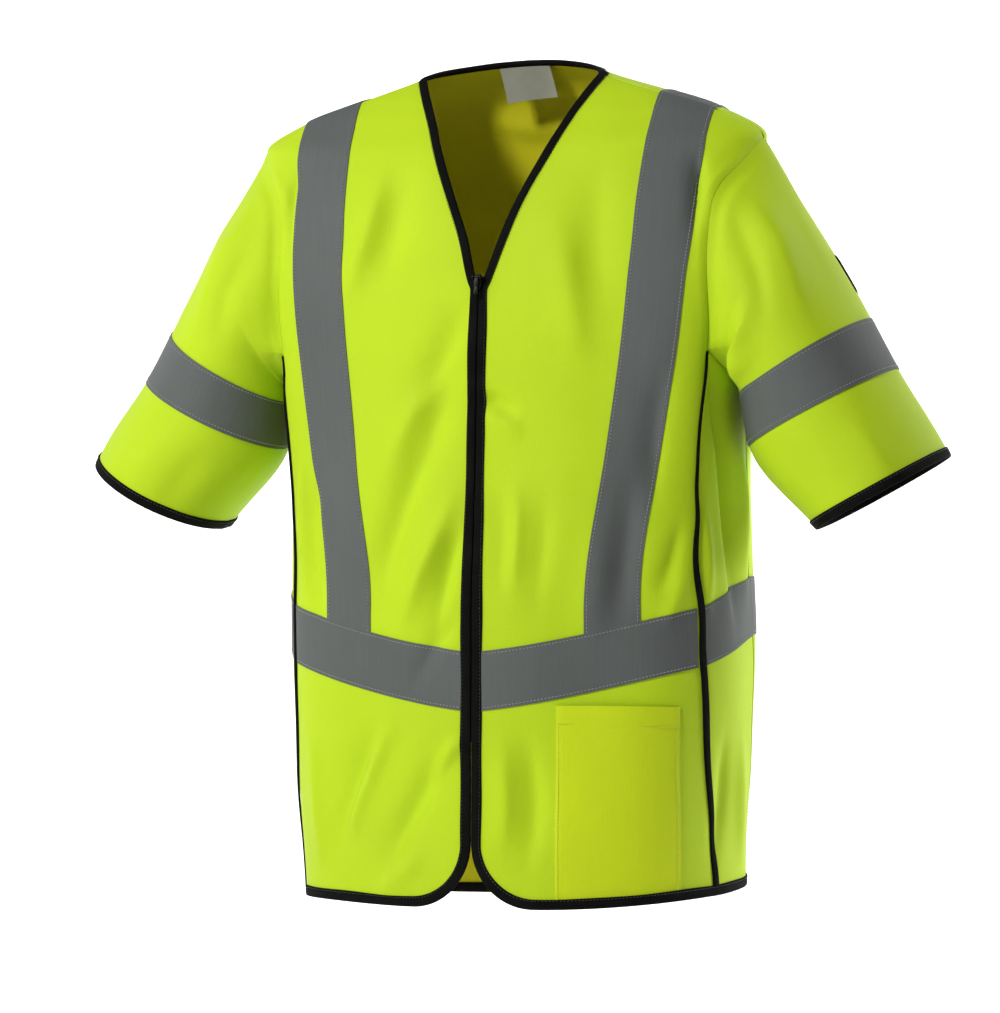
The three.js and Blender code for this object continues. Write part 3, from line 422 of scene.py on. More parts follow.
def cloth_point(angle, level):
    """The cloth's outer face on the body, at a signed angle and a level."""
    angle, level = np.broadcast_arrays(np.asarray(angle, float), np.asarray(level, float))
    turn, lift = 0.02, 1.5
    base = form(angle, level)
    across = form(angle + turn, level) - form(angle - turn, level)
    up = form(angle, level + lift) - form(angle, level - lift)
    height = unevenness(base)
    forward = np.where(angle > math.pi, angle - 2 * math.pi, angle) * GIRTH
    around = np.where(angle < 0, angle + 2 * math.pi, angle) * GIRTH
    for where, size, reaches, path in BODY_PATHS:
        height = height + crease_height(around if where == "back" else forward, level, path, size, reaches)
    hold = 1 - smoothstep(level, -60, 4) * (1 - smoothstep(np.abs(np.abs(angle) - QUARTER), 0.2, 0.9)) * 0.7
    place = base + cross_normal(across, up) * (height * hold)[..., None]
    low = smoothstep(-level, 560, 712) * np.exp(-(((angle - LOW_SIDE[0]) / LOW_SIDE[1]) ** 2))
    place[..., 0] += LOW_SIDE[2] * low
    place[..., 2] -= LOW_SIDE[3] * low
    return place


def cloth_at(angle, level):
    """The outer face and its normal."""
    angle, level = np.broadcast_arrays(np.asarray(angle, float), np.asarray(level, float))
    turn, lift = 0.015, 2.0
    across = cloth_point(angle + turn, level) - cloth_point(angle - turn, level)
    up = cloth_point(angle, level + lift) - cloth_point(angle, level - lift)
    return cloth_point(angle, level), cross_normal(across, up)


# ---- Grids of places, as angle and level ----
def rows_to_top(bottom, top, low_rows, high_rows, bend=CHEST):
    """Levels from a bottom to a top for each column, closer together towards the ridge."""
    bottom, top = np.broadcast_arrays(np.asarray(bottom, float), np.asarray(top, float))
    low = np.linspace(0, 1, low_rows, endpoint=False)[:, None]
    high = (1 - np.linspace(0, 1, high_rows)[:, None]) ** 2
    return np.concatenate([bottom + (bend - bottom) * low, top + (bend - top) * high])


def front_hem(x):
    reach = np.clip(CORNER - (x - FRONT_EDGE), 0, CORNER)
    return HEM + CORNER - np.sqrt(CORNER**2 - reach**2)


def spread(first, second, share, levels, top_x):
    """x between two lines, drawn to the place where the column meets the shoulder."""
    x = first(levels) * (1 - share) + second(levels) * share
    top = ridge_level(top_x)
    slip = top_x - (first(top) * (1 - share) + second(top) * share)
    return x + slip * smoothstep(levels, CHEST, top)


def side_line(level):
    return np.where(level < CHEST, front_seam(level), front_armhole(level))


def front_strip(first, second, tops, shares, bottom, low_rows, high_rows, hand):
    """A grid on the front between two lines, from a bottom up to the shoulder seam."""
    top_x = tops[0] + (tops[1] - tops[0]) * shares
    levels = rows_to_top(bottom, ridge_level(top_x), low_rows, high_rows)
    x = spread(first, second, shares, levels, top_x)
    angle, level = front_place(x, levels)
    angle[-1] = QUARTER
    return angle * hand, level


def front_grid(hand, columns=84, low_rows=96, high_rows=56):
    even = np.linspace(0, 1, columns)
    shares = 0.35 * even + 0.65 * even**1.5
    x_low = FRONT_EDGE + (187 - FRONT_EDGE) * shares
    return front_strip(neck_line, side_line, (NECK_HALF, SHOULDER_TIP[0]), shares, front_hem(x_low),
                       low_rows, high_rows, hand)


def side_tops(shares):
    return CHEST + (ARMPIT - CHEST) * np.sin(shares * QUARTER)


def side_grid(hand, columns=30, rows=110, bottom=HEM, top=None):
    shares = np.linspace(0, 1, columns)
    tops = side_tops(shares) if top is None else np.full(columns, float(top))
    nominal = bottom + (tops - bottom) * np.linspace(0, 1, rows)[:, None]
    angle, level = side_place(shares, nominal)
    return angle * hand, level


def back_half(levels_of, columns):
    angles, levels = back_columns(levels_of)
    at = np.asarray(columns, float)
    whole = np.arange(len(BACK_TOPS))
    return smooth(whole, angles)(at).T, smooth(whole, levels)(at).T


def full_back(levels_of, columns=76):
    angle, level = back_half(levels_of, np.linspace(0, len(BACK_TOPS) - 1, columns))
    angle = np.concatenate([angle, 2 * math.pi - angle[:, -2::-1]], axis=1)
    return angle, np.concatenate([level, level[:, -2::-1]], axis=1)


def back_levels(bottom, low_rows, high_rows):
    return lambda top: rows_to_top([bottom], [top], low_rows, high_rows, ARMPIT)[:, 0]


def level_span(low, high, rows):
    return lambda top: np.linspace(low, high, rows)


# ---- Meshes ----
def metres_along(points, axis):
    steps = np.linalg.norm(np.diff(points, axis=axis), axis=-1)
    total = np.cumsum(steps, axis=axis)
    pad = [(1, 0), (0, 0)] if axis == 0 else [(0, 0), (1, 0)]
    return np.pad(total, pad)


def make_mesh(name, vertices, faces, flat=None, sharp=55):
    mesh = bpy.data.meshes.new(name)
    mesh.from_pydata((np.asarray(vertices) * MM).tolist(), [], np.asarray(faces).tolist()
                     if isinstance(faces, np.ndarray) else faces)
    if flat is not None:
        layer = mesh.uv_layers.new(name="weave")
        corner = np.empty(len(mesh.loops), dtype=np.int32)
        mesh.loops.foreach_get("vertex_index", corner)
        layer.data.foreach_set("uv", (np.asarray(flat)[corner] * MM).ravel().astype(np.float32))
    mesh.polygons.foreach_set("use_smooth", np.ones(len(mesh.polygons), dtype=bool))
    mesh.set_sharp_from_angle(angle=math.radians(sharp))
    mesh.update()
    piece = bpy.data.objects.new(name, mesh)
    bpy.context.scene.collection.objects.link(piece)
    return piece


def grid_faces(rows, columns, closed):
    wide = columns if closed else columns - 1
    i, j = np.meshgrid(np.arange(rows - 1), np.arange(wide), indexing="ij")
    i, j = i.ravel(), j.ravel()
    k = (j + 1) % columns
    return np.stack([i * columns + j, i * columns + k, (i + 1) * columns + k, (i + 1) * columns + j], 1)


def shell(name, points, normals, outer, inner, closed=False, sharp=55):
    """A closed thin wall over a grid of points, from one distance along the normals to another."""
    rows, columns = points.shape[:2]
    count = rows * columns
    flat = np.stack([metres_along(points, 1), metres_along(points, 0)], -1).reshape(-1, 2)
    if np.isscalar(outer):
        outer = np.full((rows, columns), float(outer))
    if np.isscalar(inner):
        inner = np.full((rows, columns), float(inner))
    vertices = np.concatenate([(points + normals * outer[..., None]).reshape(-1, 3),
                               (points + normals * inner[..., None]).reshape(-1, 3)])
    face = grid_faces(rows, columns, closed)
    faces = [face, face[:, ::-1] + count]
    ends = np.arange(columns if closed else columns - 1)
    after = (ends + 1) % columns
    last = (rows - 1) * columns
    faces.append(np.stack([ends + count, after + count, after, ends], 1))
    faces.append(np.stack([last + ends, last + after, last + after + count, last + ends + count], 1))
    if not closed:
        down = np.arange(rows - 1) * columns
        up = down + columns
        end = columns - 1
        faces.append(np.stack([down, up, up + count, down + count], 1))
        faces.append(np.stack([down + end + count, up + end + count, up + end, down + end], 1))
    return make_mesh(name, vertices, np.concatenate(faces), np.concatenate([flat, flat]), sharp)


# ---- Panels ----
def border_distance(points, side):
    """How far each place of a grid is from one of its sides, over the cloth."""
    axis = 1 if side in ("start", "finish") else 0
    along = metres_along(points, axis)
    if side in ("start", "bottom"):
        return along
    return along[:, -1:] - along if axis else along[-1:] - along


def sewn_relief(points, seams, armholes=()):
    """Dips along seams, and beside an armhole a soft roll where the seam's edges lie folded inside."""
    relief = np.zeros(points.shape[:2])
    for side in seams:
        depth = 0.25 if side in armholes else 0.9
        relief -= depth * (1 - smoothstep(border_distance(points, side), 0, 5))
    upper = smoothstep(points[..., 2], CHEST - 16, CHEST + 24) * smoothstep(-points[..., 2], 58, 96)
    for side in armholes:
        relief += 1.0 * np.exp(-(((border_distance(points, side) - 5.5) / 3.6) ** 2)) * upper
    return relief


def seam_tuck(shape, sides, depth=0.9, reach=3):
    """How far a panel dips where it is sewn along the named sides, in rows and columns."""
    rows, columns = shape
    dip = np.zeros(shape)
    j, i = np.arange(columns), np.arange(rows)[:, None]
    near = {"start": j + 0 * i, "finish": columns - 1 - j + 0 * i,
            "bottom": i + 0 * j, "top": rows - 1 - i + 0 * j}
    for side in sides:
        dip = np.maximum(dip, depth * (1 - smoothstep(near[side], 0, reach)))
    return -dip


def panel(name, grid, seams, armholes=()):
    points, normals = cloth_at(*grid)
    outer = sewn_relief(points, seams, armholes)
    return shell(name, points, normals, outer, outer - CLOTH_WALL)


HANDS = {"left": 1, "right": -1}


def orient(grid, hand):
    """Columns run towards the wearer's left, so that the outside faces out."""
    return tuple(part[:, ::hand] for part in grid)


def make_panels():
    pieces = {}
    for side, hand in HANDS.items():
        front = orient(front_grid(hand), hand)
        outer_side = "finish" if hand > 0 else "start"
        pieces[f"front_{side}"] = panel(f"cloth_front_{side}", front, ["top", outer_side], [outer_side])
        flank = orient(side_grid(hand), hand)
        pieces[f"side_{side}"] = panel(f"cloth_side_{side}", flank, ["start", "finish", "top"])
    back = full_back(back_levels(HEM, 96, 56))
    pieces["back"] = panel("cloth_back", back, ["start", "finish"], ["start", "finish"])
    return pieces


# ---- Tapes ----
def strip(name, grid):
    points, normals = cloth_at(*grid)
    return shell(name, points, normals, LAYER_GAP + TAPE_WALL, LAYER_GAP - 0.3)


def make_tapes():
    pieces = {}
    shares = np.linspace(0, 1, 14)
    for side, hand in HANDS.items():
        brace = front_strip(brace_inner, brace_outer, (135, 184), shares, WAIST_TOP - 1.5, 66, 56, hand)
        pieces[f"brace_front_{side}"] = strip(f"tape_brace_front_{side}", orient(brace, hand))
        x = np.linspace(FRONT_EDGE + BINDING_WIDTH - 0.6, front_seam(-520) - PIPING_HALF + 1, 56)
        nominal = np.linspace(WAIST_BOTTOM, WAIST_TOP, 14)[:, None]
        angle, level = front_place(x + 0 * nominal, nominal + 0 * x)
        pieces[f"waist_front_{side}"] = strip(f"tape_waist_front_{side}", orient((angle * hand, level), hand))
        share = np.linspace(0.045, 0.997, 30)
        angle, level = side_place(share, nominal + 0 * share)
        pieces[f"waist_side_{side}"] = strip(f"tape_waist_side_{side}", orient((angle * hand, level), hand))
    for side, hand in HANDS.items():
        angle, level = back_half(back_levels(WAIST_TOP - 1.5, 60, 56), np.linspace(4, 2, 14))
        angle = angle if hand > 0 else 2 * math.pi - angle
        pieces[f"brace_back_{side}"] = strip(f"tape_brace_back_{side}", orient((angle, level), -hand))
    grid = full_back(level_span(WAIST_BOTTOM, WAIST_TOP, 14))
    pieces["waist_back"] = strip("tape_waist_back", grid)
    return pieces


# ---- Sleeves ----
STATIONS = [0, *(row[0] for row in SLEEVE_SECTIONS)]
TAPE_TOP, TAPE_BOTTOM = 0.63, 0.75
PATCH_TOP, PATCH_BOTTOM = 0.475, 0.565


def armhole(hand, front=34, under=16, back=30):
    """The armhole from the shoulder down the front, under the arm and up the back: points and turns."""
    tip = SHOULDER_TIP[1]
    nominal = tip + (CHEST - tip) * np.linspace(0, 1, front) ** 1.6
    angle_a, level_a = front_place(front_armhole(nominal), nominal)
    angle_a[0] = QUARTER
    share = np.linspace(0, 1, under + 1)[1:]
    angle_b, level_b = side_place(share, side_tops(share))
    rise = tip + (ARMPIT - tip) * np.linspace(1, 0, back + 1)[1:-1] ** 1.6
    angle_c, level_c = back_half(lambda top: rise, [0])
    angle = np.concatenate([angle_a, angle_b, angle_c[:, 0]])
    level = np.concatenate([level_a, level_b, level_c[:, 0]])
    plain = form(angle, level)
    gaps = np.linalg.norm(np.roll(plain, -1, 0) - plain, axis=1)
    bottom = front + under - 1
    total = np.concatenate([[0], np.cumsum(gaps)])
    half, whole = total[bottom], total[-1]
    turn = np.where(total[:-1] <= half, math.pi * total[:-1] / half,
                    math.pi * (1 + (total[:-1] - half) / (whole - half)))
    return angle * hand, level, turn


def sleeve_curve(hand, angle, level, turn):
    start, body = cloth_at(angle, level)
    points = [start]
    for _, outer_x, outer_z, inner_x, inner_z, depth, y, dip in SLEEVE_SECTIONS:
        share, forward = np.cos(turn) / 2, np.sin(turn)
        x = (outer_x + inner_x) / 2 + (outer_x - inner_x) * share
        z = (outer_z + inner_z) / 2 + (outer_z - inner_z) * share - dip * forward
        points.append(np.stack([x * hand, y - depth * forward, z], -1))
    return smooth(STATIONS, np.array(points)), body


def sleeve_surface(hand):
    """The sleeve's outer face as points for rows of stations, from the shoulder by way of the front."""
    angle, level, turn = armhole(hand)
    curve, _ = sleeve_curve(hand, angle, level, turn)

    def at(stations):
        base = curve(stations)
        near = np.clip(stations, 0.01, 1)
        down = curve(near + 0.01) - curve(near - 0.01)
        around = np.roll(curve(near), -1, 1) - np.roll(curve(near), 1, 1)
        normal = cross_normal(around, down) * hand
        relief = unevenness(base) * 1.1
        q = turn * SLEEVE_GIRTH + 0 * stations[:, None]
        r = stations[:, None] * SLEEVE_LENGTH + 0 * turn
        for owner, height, reaches, path in SLEEVE_PATHS:
            if owner == hand:
                relief = relief + crease_height(q, r, path, height, reaches)
        free = smoothstep(stations, 0, 0.09)[:, None]
        return base + normal * (relief * free)[..., None]

    return at


def sleeve_grid(hand, stations):
    """Points and outward normals of the sleeve, one row a station."""
    surface = sleeve_surface(hand)
    points = surface(stations)
    near = np.maximum(stations, 0.006)
    down = surface(near + 0.006) - surface(near - 0.006)
    around = np.roll(points, -1, 1) - np.roll(points, 1, 1)
    return points, cross_normal(around, down) * hand


def facing_out(points, normals, hand):
    """Rows from the cuff up, columns turned so that faces look outwards."""
    points, normals = points[::-1], normals[::-1]
    if hand > 0:
        points, normals = points[:, ::-1], normals[:, ::-1]
    return points, normals


def sleeve_band(name, hand, stations, outer, inner):
    points, normals = facing_out(*sleeve_grid(hand, stations), hand)
    return shell(name, points, normals, outer, inner, closed=True)


def make_sleeves():
    pieces = {}
    stations = np.concatenate([np.linspace(0, 0.1, 12)[:-1], np.linspace(0.1, 1, 80)])
    for side, hand in HANDS.items():
        points, normals = facing_out(*sleeve_grid(hand, stations), hand)
        from_seam = border_distance(points, "top")
        outer = -0.25 - 1.3 * np.exp(-(((from_seam - 8) / 6) ** 2)) * smoothstep(-points[..., 2], 58, 110)
        outer *= 1 - smoothstep(from_seam, 20, 40)
        pieces[f"sleeve_{side}"] = shell(f"cloth_sleeve_{side}", points, normals, outer, outer - CLOTH_WALL,
                                         closed=True)
        around = np.linspace(TAPE_TOP, TAPE_BOTTOM, 15)
        pieces[f"sleeve_tape_{side}"] = sleeve_band(f"tape_sleeve_{side}", hand, around,
                                                    LAYER_GAP + TAPE_WALL, LAYER_GAP - 0.3)
    return pieces


# ---- Ribbons: places at set distances to one side of a path over the cloth ----
def sideways(angle, level):
    """For each place of a path, the step in angle and level that is one millimetre to its left."""
    turn, lift = 0.01, 1.0
    across = (form(angle + turn, level) - form(angle - turn, level)) / (2 * turn)
    up = (form(angle, level + lift) - form(angle, level - lift)) / (2 * lift)
    d_angle, d_level = np.gradient(angle), np.gradient(level)
    aa, al, ll = (across * across).sum(-1), (across * up).sum(-1), (up * up).sum(-1)
    left_angle = -(al * d_angle + ll * d_level)
    left_level = aa * d_angle + al * d_level
    size = np.sqrt(aa * left_angle**2 + 2 * al * left_angle * left_level + ll * left_level**2)
    return left_angle / size, left_level / size


def ribbon(angle, level, distances):
    """Points and normals, one row for each distance to the left of the path."""
    left_angle, left_level = sideways(angle, level)
    reach = np.asarray(distances, float)
    if reach.ndim == 1:
        reach = reach[:, None]
    return cloth_at(angle + reach * left_angle, level + reach * left_level)


def even(angle, level, pitch=4.0):
    """The same path with places at an even pitch."""
    points = form(angle, level)
    along = np.concatenate([[0], np.cumsum(np.linalg.norm(np.diff(points, axis=0), axis=1))])
    keep = np.concatenate([[True], np.diff(along) > 1e-6])
    count = max(int(along[-1] / pitch), 4) + 1
    at = np.linspace(0, along[-1], count)
    return np.interp(at, along[keep], angle[keep]), np.interp(at, along[keep], level[keep])


def sweep(name, outlines, closed=False, sharp=50):
    """Joins closed outlines, given station by station, into one solid."""
    count, size = outlines.shape[:2]
    vertices = outlines.reshape(-1, 3)
    spans = count if closed else count - 1
    faces = []
    for i in range(spans):
        here, there = i * size, (i + 1) % count * size
        for k in range(size):
            other = (k + 1) % size
            faces.append((here + k, here + other, there + other, there + k))
    if not closed:
        faces.append(tuple(range(size - 1, -1, -1)))
        faces.append(tuple((count - 1) * size + k for k in range(size)))
    along = np.concatenate([[0], np.cumsum(np.linalg.norm(np.diff(outlines[:, 0], axis=0), axis=1))])
    around = np.linspace(0, 22, size)
    flat = np.stack([along[:, None] + 0 * around, around + 0 * along[:, None]], -1).reshape(-1, 2)
    return make_mesh(name, vertices, faces, flat, sharp)


def channel(name, points, normals, closed=False):
    """Binding folded over an edge; the rows are its inner border, its middle and the edge itself."""
    (a, b, c), (na, nb, nc) = points, normals
    way = c - b
    way /= np.linalg.norm(way, axis=1, keepdims=True)
    top = BINDING_GAP + BINDING_WALL
    radius = CLOTH_WALL / 2 + top
    middle = c - nc * (CLOTH_WALL / 2) + way * 0.2
    outline = [a + na * 0.1 - way * 0.1, a + na * (top - 0.2), a + way * 0.5 + na * (top + 0.05),
               b + nb * (top + 0.15), c - way * 0.8 + nc * (top + 0.1)]
    for turn in np.radians([68, 40, 12, -16, -44, -70]):
        outline.append(middle + way * (radius * 0.72 * math.cos(turn)) + nc * (radius * math.sin(turn)))
    outline += [b - nb * (CLOTH_WALL + top), a + way * 0.4 - na * (CLOTH_WALL + top),
                a - na * (CLOTH_WALL + 0.1), c - nc * (CLOTH_WALL + 0.1), c + way * 0.3 - nc * CLOTH_WALL / 2,
                c + nc * 0.1]
    return sweep(name, np.stack(outline, 1), closed)


binding_width = table((-730, 7.6), (-600, 7.6), (-230, 7.6), (-170, 6.2), (20, 5.6))


def binding(name, angle, level):
    angle, level = even(np.asarray(angle), np.asarray(level))
    width = binding_width(level)
    sway = 1 + 0.035 * np.sin(np.arange(len(angle)) * 0.31) + 0.03 * np.sin(np.arange(len(angle)) * 0.117)
    points, normals = ribbon(angle, level, np.array([[1], [0.5], [0]]) * width * sway)
    return channel(name, points, normals)


def front_edge_path(neck_rows=90, corner_rows=30):
    """The left front's edge in x and nominal level: down the neck and front, and round the corner."""
    high = NECK_POINT - (NECK_POINT - ZIP_TOP) * np.linspace(0, 1, neck_rows) ** 1.5
    down = np.linspace(ZIP_TOP, HEM + CORNER, 110)[1:]
    turn = np.linspace(0, QUARTER, corner_rows)[1:]
    along = np.linspace(FRONT_EDGE + CORNER, front_seam(HEM), 50)[1:]
    x = np.concatenate([neck_line(high), neck_line(down), FRONT_EDGE + CORNER * (1 - np.cos(turn)), along])
    level = np.concatenate([high, down, HEM + CORNER * (1 - np.sin(turn)), HEM + 0 * along])
    return x, level


def hem_paths():
    """Paths of the bound edges in angle and level, each with its cloth on the left of the way along it."""
    paths = {}
    for side, hand in HANDS.items():
        x, nominal = front_edge_path()
        angle, level = front_place(x, nominal)
        angle[0] = QUARTER
        paths[f"binding_front_{side}"] = (angle * hand, level)
        share = np.linspace(0, 1, 40)
        angle, level = side_place(share, HEM + 0 * share)
        paths[f"binding_side_{side}"] = (angle * hand, level)
    angle, level = full_back(level_span(HEM, HEM, 1))
    paths["binding_back"] = (angle[0], level[0])
    columns = np.linspace(6, len(BACK_TOPS) - 1, 60)
    angle, level = back_half(lambda top: np.array([top]), columns)
    angle = np.concatenate([angle[0], 2 * math.pi - angle[0, -2::-1]])
    level = np.concatenate([level[0], level[0, -2::-1]])
    paths["binding_neck"] = (angle[::-1], level[::-1])
    return paths


def turned(path, hand):
    return path if hand > 0 else tuple(part[::-1] for part in path)


def make_bindings(paths):
    pieces = {}
    for node, path in paths.items():
        hand = -1 if node.endswith("right") else 1
        pieces[node] = binding(f"edge_{node}", *turned(path, hand))
    for side, hand in HANDS.items():
        back = CUFF_BINDING / SLEEVE_LENGTH
        points, normals = sleeve_grid(hand, np.array([1 - back, 1 - back / 2, 1]))
        if hand < 0:
            points, normals = points[:, ::-1], normals[:, ::-1]
        pieces[f"binding_cuff_{side}"] = channel(f"edge_cuff_{side}", points, normals, closed=True)
    return pieces


# ---- Piping along the front seams ----
piping_reach = table((-730, 3.9), (-600, 3.8), (-560, 3.5), (-480, 3.1), (-440, 2.6), (-400, 2.0),
                     (-330, 1.3), (-235, 1.0))


def make_piping():
    pieces = {}
    for side, hand in HANDS.items():
        nominal = np.linspace(HEM + BINDING_WIDTH - 1, CHEST - 2, 200)
        waved = smoothstep(nominal, -560, -500) * (1 - smoothstep(nominal, -420, -350))
        wave = 1.1 * np.sin(nominal / 17) * waved
        angle, level = front_place(front_seam(nominal) + wave, nominal)
        left = np.array([1, 0.72, 0.3, -0.3, -0.72, -1])[:, None] * piping_reach(nominal)
        points, normals = ribbon(angle * hand, level, left * hand)
        lift = np.array([0.9, 1.75, 2.0, 2.0, 1.75, 0.9])[:, None, None]
        over, under = points + normals * lift, points[[5, 0]] + normals[[5, 0]] * 0.1
        outline = np.concatenate([over, under]).transpose(1, 0, 2)
        pieces[f"piping_{side}"] = sweep(f"piping_strip_{side}", outline[:, ::-hand])
    return pieces


# ---- Pocket, label and patch ----
def make_pocket():
    bottom = HEM + BINDING_WIDTH - 2
    x = np.linspace(POCKET["left"], POCKET["right"], 46)
    top = POCKET["top"] - front_rise(x) * 0.97
    share = np.linspace(0, 1, 72)[:, None]
    nominal = bottom + (top - bottom) * share
    angle, level = front_place(x + 0 * share, nominal)
    points, normals = cloth_at(angle, level)
    rows, columns = points.shape[:2]
    drop = (top - nominal) / POCKET["hem"]
    across = np.linspace(-1, 1, columns)
    bulge = (1 - across**2) ** 2 * (0.6 + 1.9 * share**3)
    hem = 0.55 * (1 - smoothstep(drop, 0.9, 1.08))
    tuck = seam_tuck((rows, columns), ["start", "finish"], 0.7, 2)
    outer = BINDING_GAP + 1.0 + bulge + hem + tuck + 0.25 * unevenness(points * 2.1)
    above = smoothstep(nominal, bottom + 2, bottom + 10)
    outer = 0.3 * (1 - above) + outer * above
    return {"pocket": shell("cloth_pocket", points, normals, outer, outer - 0.9)}


def make_label():
    """A blank label sewn in behind the back neck's binding, its free edge curling a little."""
    across, down = np.linspace(0, 1, 28), np.linspace(1, 0, 24)[:, None]
    x = -26 + 46 * across
    level = neck_level(np.abs(x)) - 1.5
    angle = angle_at(np.abs(x), level, True)
    points, normals = cloth_at(np.where(x < 0, -angle, angle), level)
    top = points - normals * (CLOTH_WALL + BINDING_GAP + BINDING_WALL + 0.9)
    curl = 3.2 * down**2 + 1.3 * np.sin(across * 5.5 + 0.6) * down + 2.2 * (across - 0.4) ** 2 * down
    skew = 3.5 * down * (across - 0.5)
    sheet = top[None] + np.stack([0 * curl + 4.2 * down, 15 * down - curl, -28 * down + skew], -1)
    around, up = np.gradient(sheet, axis=1), np.gradient(sheet, axis=0)
    return {"neck_label": shell("label_blank", sheet, cross_normal(around, up), 0, -0.5)}


def make_patch():
    """A blank black patch on the outer back of the left sleeve."""
    stations = np.linspace(PATCH_TOP, PATCH_BOTTOM, 16)
    points, normals = facing_out(*sleeve_grid(1, stations), 1)
    columns = points.shape[1]
    pick = np.arange(1, 12)
    points, normals = points[:, pick % columns], normals[:, pick % columns]
    edge = seam_tuck(points.shape[:2], ["start", "finish", "top", "bottom"], 0.45, 1.5)
    return {"sleeve_patch": shell("patch_blank", points, normals, 1.15 + edge, 0.1)}


# ---- Zip ----
ZIP_DEPTH = CLOTH_WALL + BINDING_GAP + BINDING_WALL + 0.4
TOOTH_PITCH = 2.4


def make_zip():
    pieces = {}
    for side, hand in HANDS.items():
        x = np.linspace(0.7, 15, 8)
        nominal = np.linspace(ZIP_BOTTOM, -187, 190)[:, None]
        angle, level = front_place(x + 0 * nominal, nominal + 0 * x)
        points, normals = cloth_at(*orient((angle * hand, level), hand))
        tape = shell(f"zip_tape_{side}", points, normals, -ZIP_DEPTH, -ZIP_DEPTH - 0.5)
        teeth = make_teeth(f"zip_teeth_{side}", hand)
        pieces[f"zip_{side}"] = (tape, teeth)
    return pieces


def make_teeth(name, hand):
    """Moulded teeth, each a small rounded block; the two sides stand half a pitch apart."""
    nominal = np.arange(ZIP_BOTTOM + 2, -187, TOOTH_PITCH) + (0 if hand > 0 else TOOTH_PITCH / 2)
    angle, level = front_place(0 * nominal + 0.01, nominal)
    centre, normal = cloth_at(angle, level)
    centre[:, 0] = 0
    normal[:, 0] = 0
    normal /= np.linalg.norm(normal, axis=1, keepdims=True)
    up = np.cross(normal, [1.0, 0, 0])
    up *= np.sign(up[:, 2:3])
    across = np.array([hand, 0, 0.0])
    rounds = np.array([(-0.45, 0.30), (-0.3, 0.62), (1.2, 0.62), (2.5, 0.5), (2.7, 0.3)])
    ring = []
    for reach, half in rounds:
        for u, d in [(-1, -0.5), (-0.55, 0.9), (0.55, 0.9), (1, -0.5)]:
            ring.append((reach, u * half, d * 0.75))
    ring = np.array(ring)
    block = (ring[:, 0, None] * across + centre[:, None] + ring[:, 1, None] * up[:, None]
             + (ring[:, 2, None] - ZIP_DEPTH - 0.7) * normal[:, None])
    base = [(k * 4 + m, k * 4 + (m + 1) % 4, (k + 1) * 4 + (m + 1) % 4, (k + 1) * 4 + m)
            for k in range(len(rounds) - 1) for m in range(4)]
    base += [(3, 2, 1, 0), tuple(range(len(ring) - 4, len(ring)))]
    faces = [tuple(v + t * len(ring) for v in face) for t in range(len(nominal)) for face in base]
    return make_mesh(name, block.reshape(-1, 3), faces, np.zeros((block.size // 3, 2)), 40)


# ---- Slider and pull tab, in millimetres across, out and up from the pin ----
PIN = (0.0, -111.407, -179.060)
LEAN = math.radians(-8.31)


def at_pin(points):
    out = np.array([0, -math.cos(LEAN), -math.sin(LEAN)])
    up = np.array([0, -math.sin(LEAN), math.cos(LEAN)])
    points = np.asarray(points, float)
    across = points[..., :1] * np.array([1.0, 0, 0])
    return np.array(PIN) + across + points[..., 1:2] * out + points[..., 2:] * up


def rounded(top_width, bottom_width, top, bottom, radius):
    """An outline with four rounded corners, as pairs of distance to the side and height."""
    corners = [(top_width / 2, top), (-top_width / 2, top),
               (-bottom_width / 2, bottom), (bottom_width / 2, bottom)]
    outline = []
    for k, (side, height) in enumerate(corners):
        centre = (side - math.copysign(radius, side), height - radius if k < 2 else height + radius)
        for turn in np.linspace(0, QUARTER, 6) + k * QUARTER:
            outline.append((centre[0] + radius * math.cos(turn), centre[1] + radius * math.sin(turn)))
    return np.array(outline)


def plate(outline, low, high, edge, sideways=False):
    """A plate with softened edges on an outline; it faces out, or with sideways across."""
    middle = (outline.max(0) + outline.min(0)) / 2
    half = (outline.max(0) - outline.min(0)) / 2
    rings = []
    for height, inset in [(low, edge), (low + edge * 0.3, edge * 0.3), (low + edge, 0), (high - edge, 0),
                          (high - edge * 0.3, edge * 0.3), (high, edge)]:
        flat = middle + (outline - middle) * (1 - inset / half)
        depth = np.full((len(flat), 1), height)
        parts = [depth, flat[:, :1], flat[:, 1:]] if sideways else [flat[:, :1], depth, flat[:, 1:]]
        rings.append(np.concatenate(parts, 1))
    count = len(outline)
    faces = []
    for k in range(len(rings) - 1):
        for m in range(count):
            here, there, after = k * count, (k + 1) * count, (m + 1) % count
            faces.append((here + m, here + after, there + after, there + m))
    faces += [tuple(range(count))[::-1], tuple(range((len(rings) - 1) * count, len(rings) * count))]
    return np.concatenate(rings), faces if sideways else [face[::-1] for face in faces]


def eye(inner, outer, half, count=24):
    """The round eye of the pull tab, about the pin."""
    turns = np.linspace(0, 2 * math.pi, count, endpoint=False)
    edge = 0.25
    rim = [(-half, inner), (-half, outer - edge), (-half + edge, outer), (half - edge, outer),
           (half, outer - edge), (half, inner)]
    points = [(x, r * math.cos(turn), r * math.sin(turn)) for turn in turns for x, r in rim]
    n = len(rim)
    faces = [(k * n + m, (k + 1) % count * n + m, (k + 1) % count * n + (m + 1) % n, k * n + (m + 1) % n)
             for k in range(count) for m in range(n)]
    return np.array(points), faces


def assembled(name, parts):
    points, faces = [], []
    for part_points, part_faces in parts:
        start = sum(len(p) for p in points)
        points.append(part_points)
        faces += [tuple(v + start for v in face) for face in part_faces]
    points = at_pin(np.concatenate(points))
    return make_mesh(name, points, faces, np.zeros((len(points), 2)), 35)


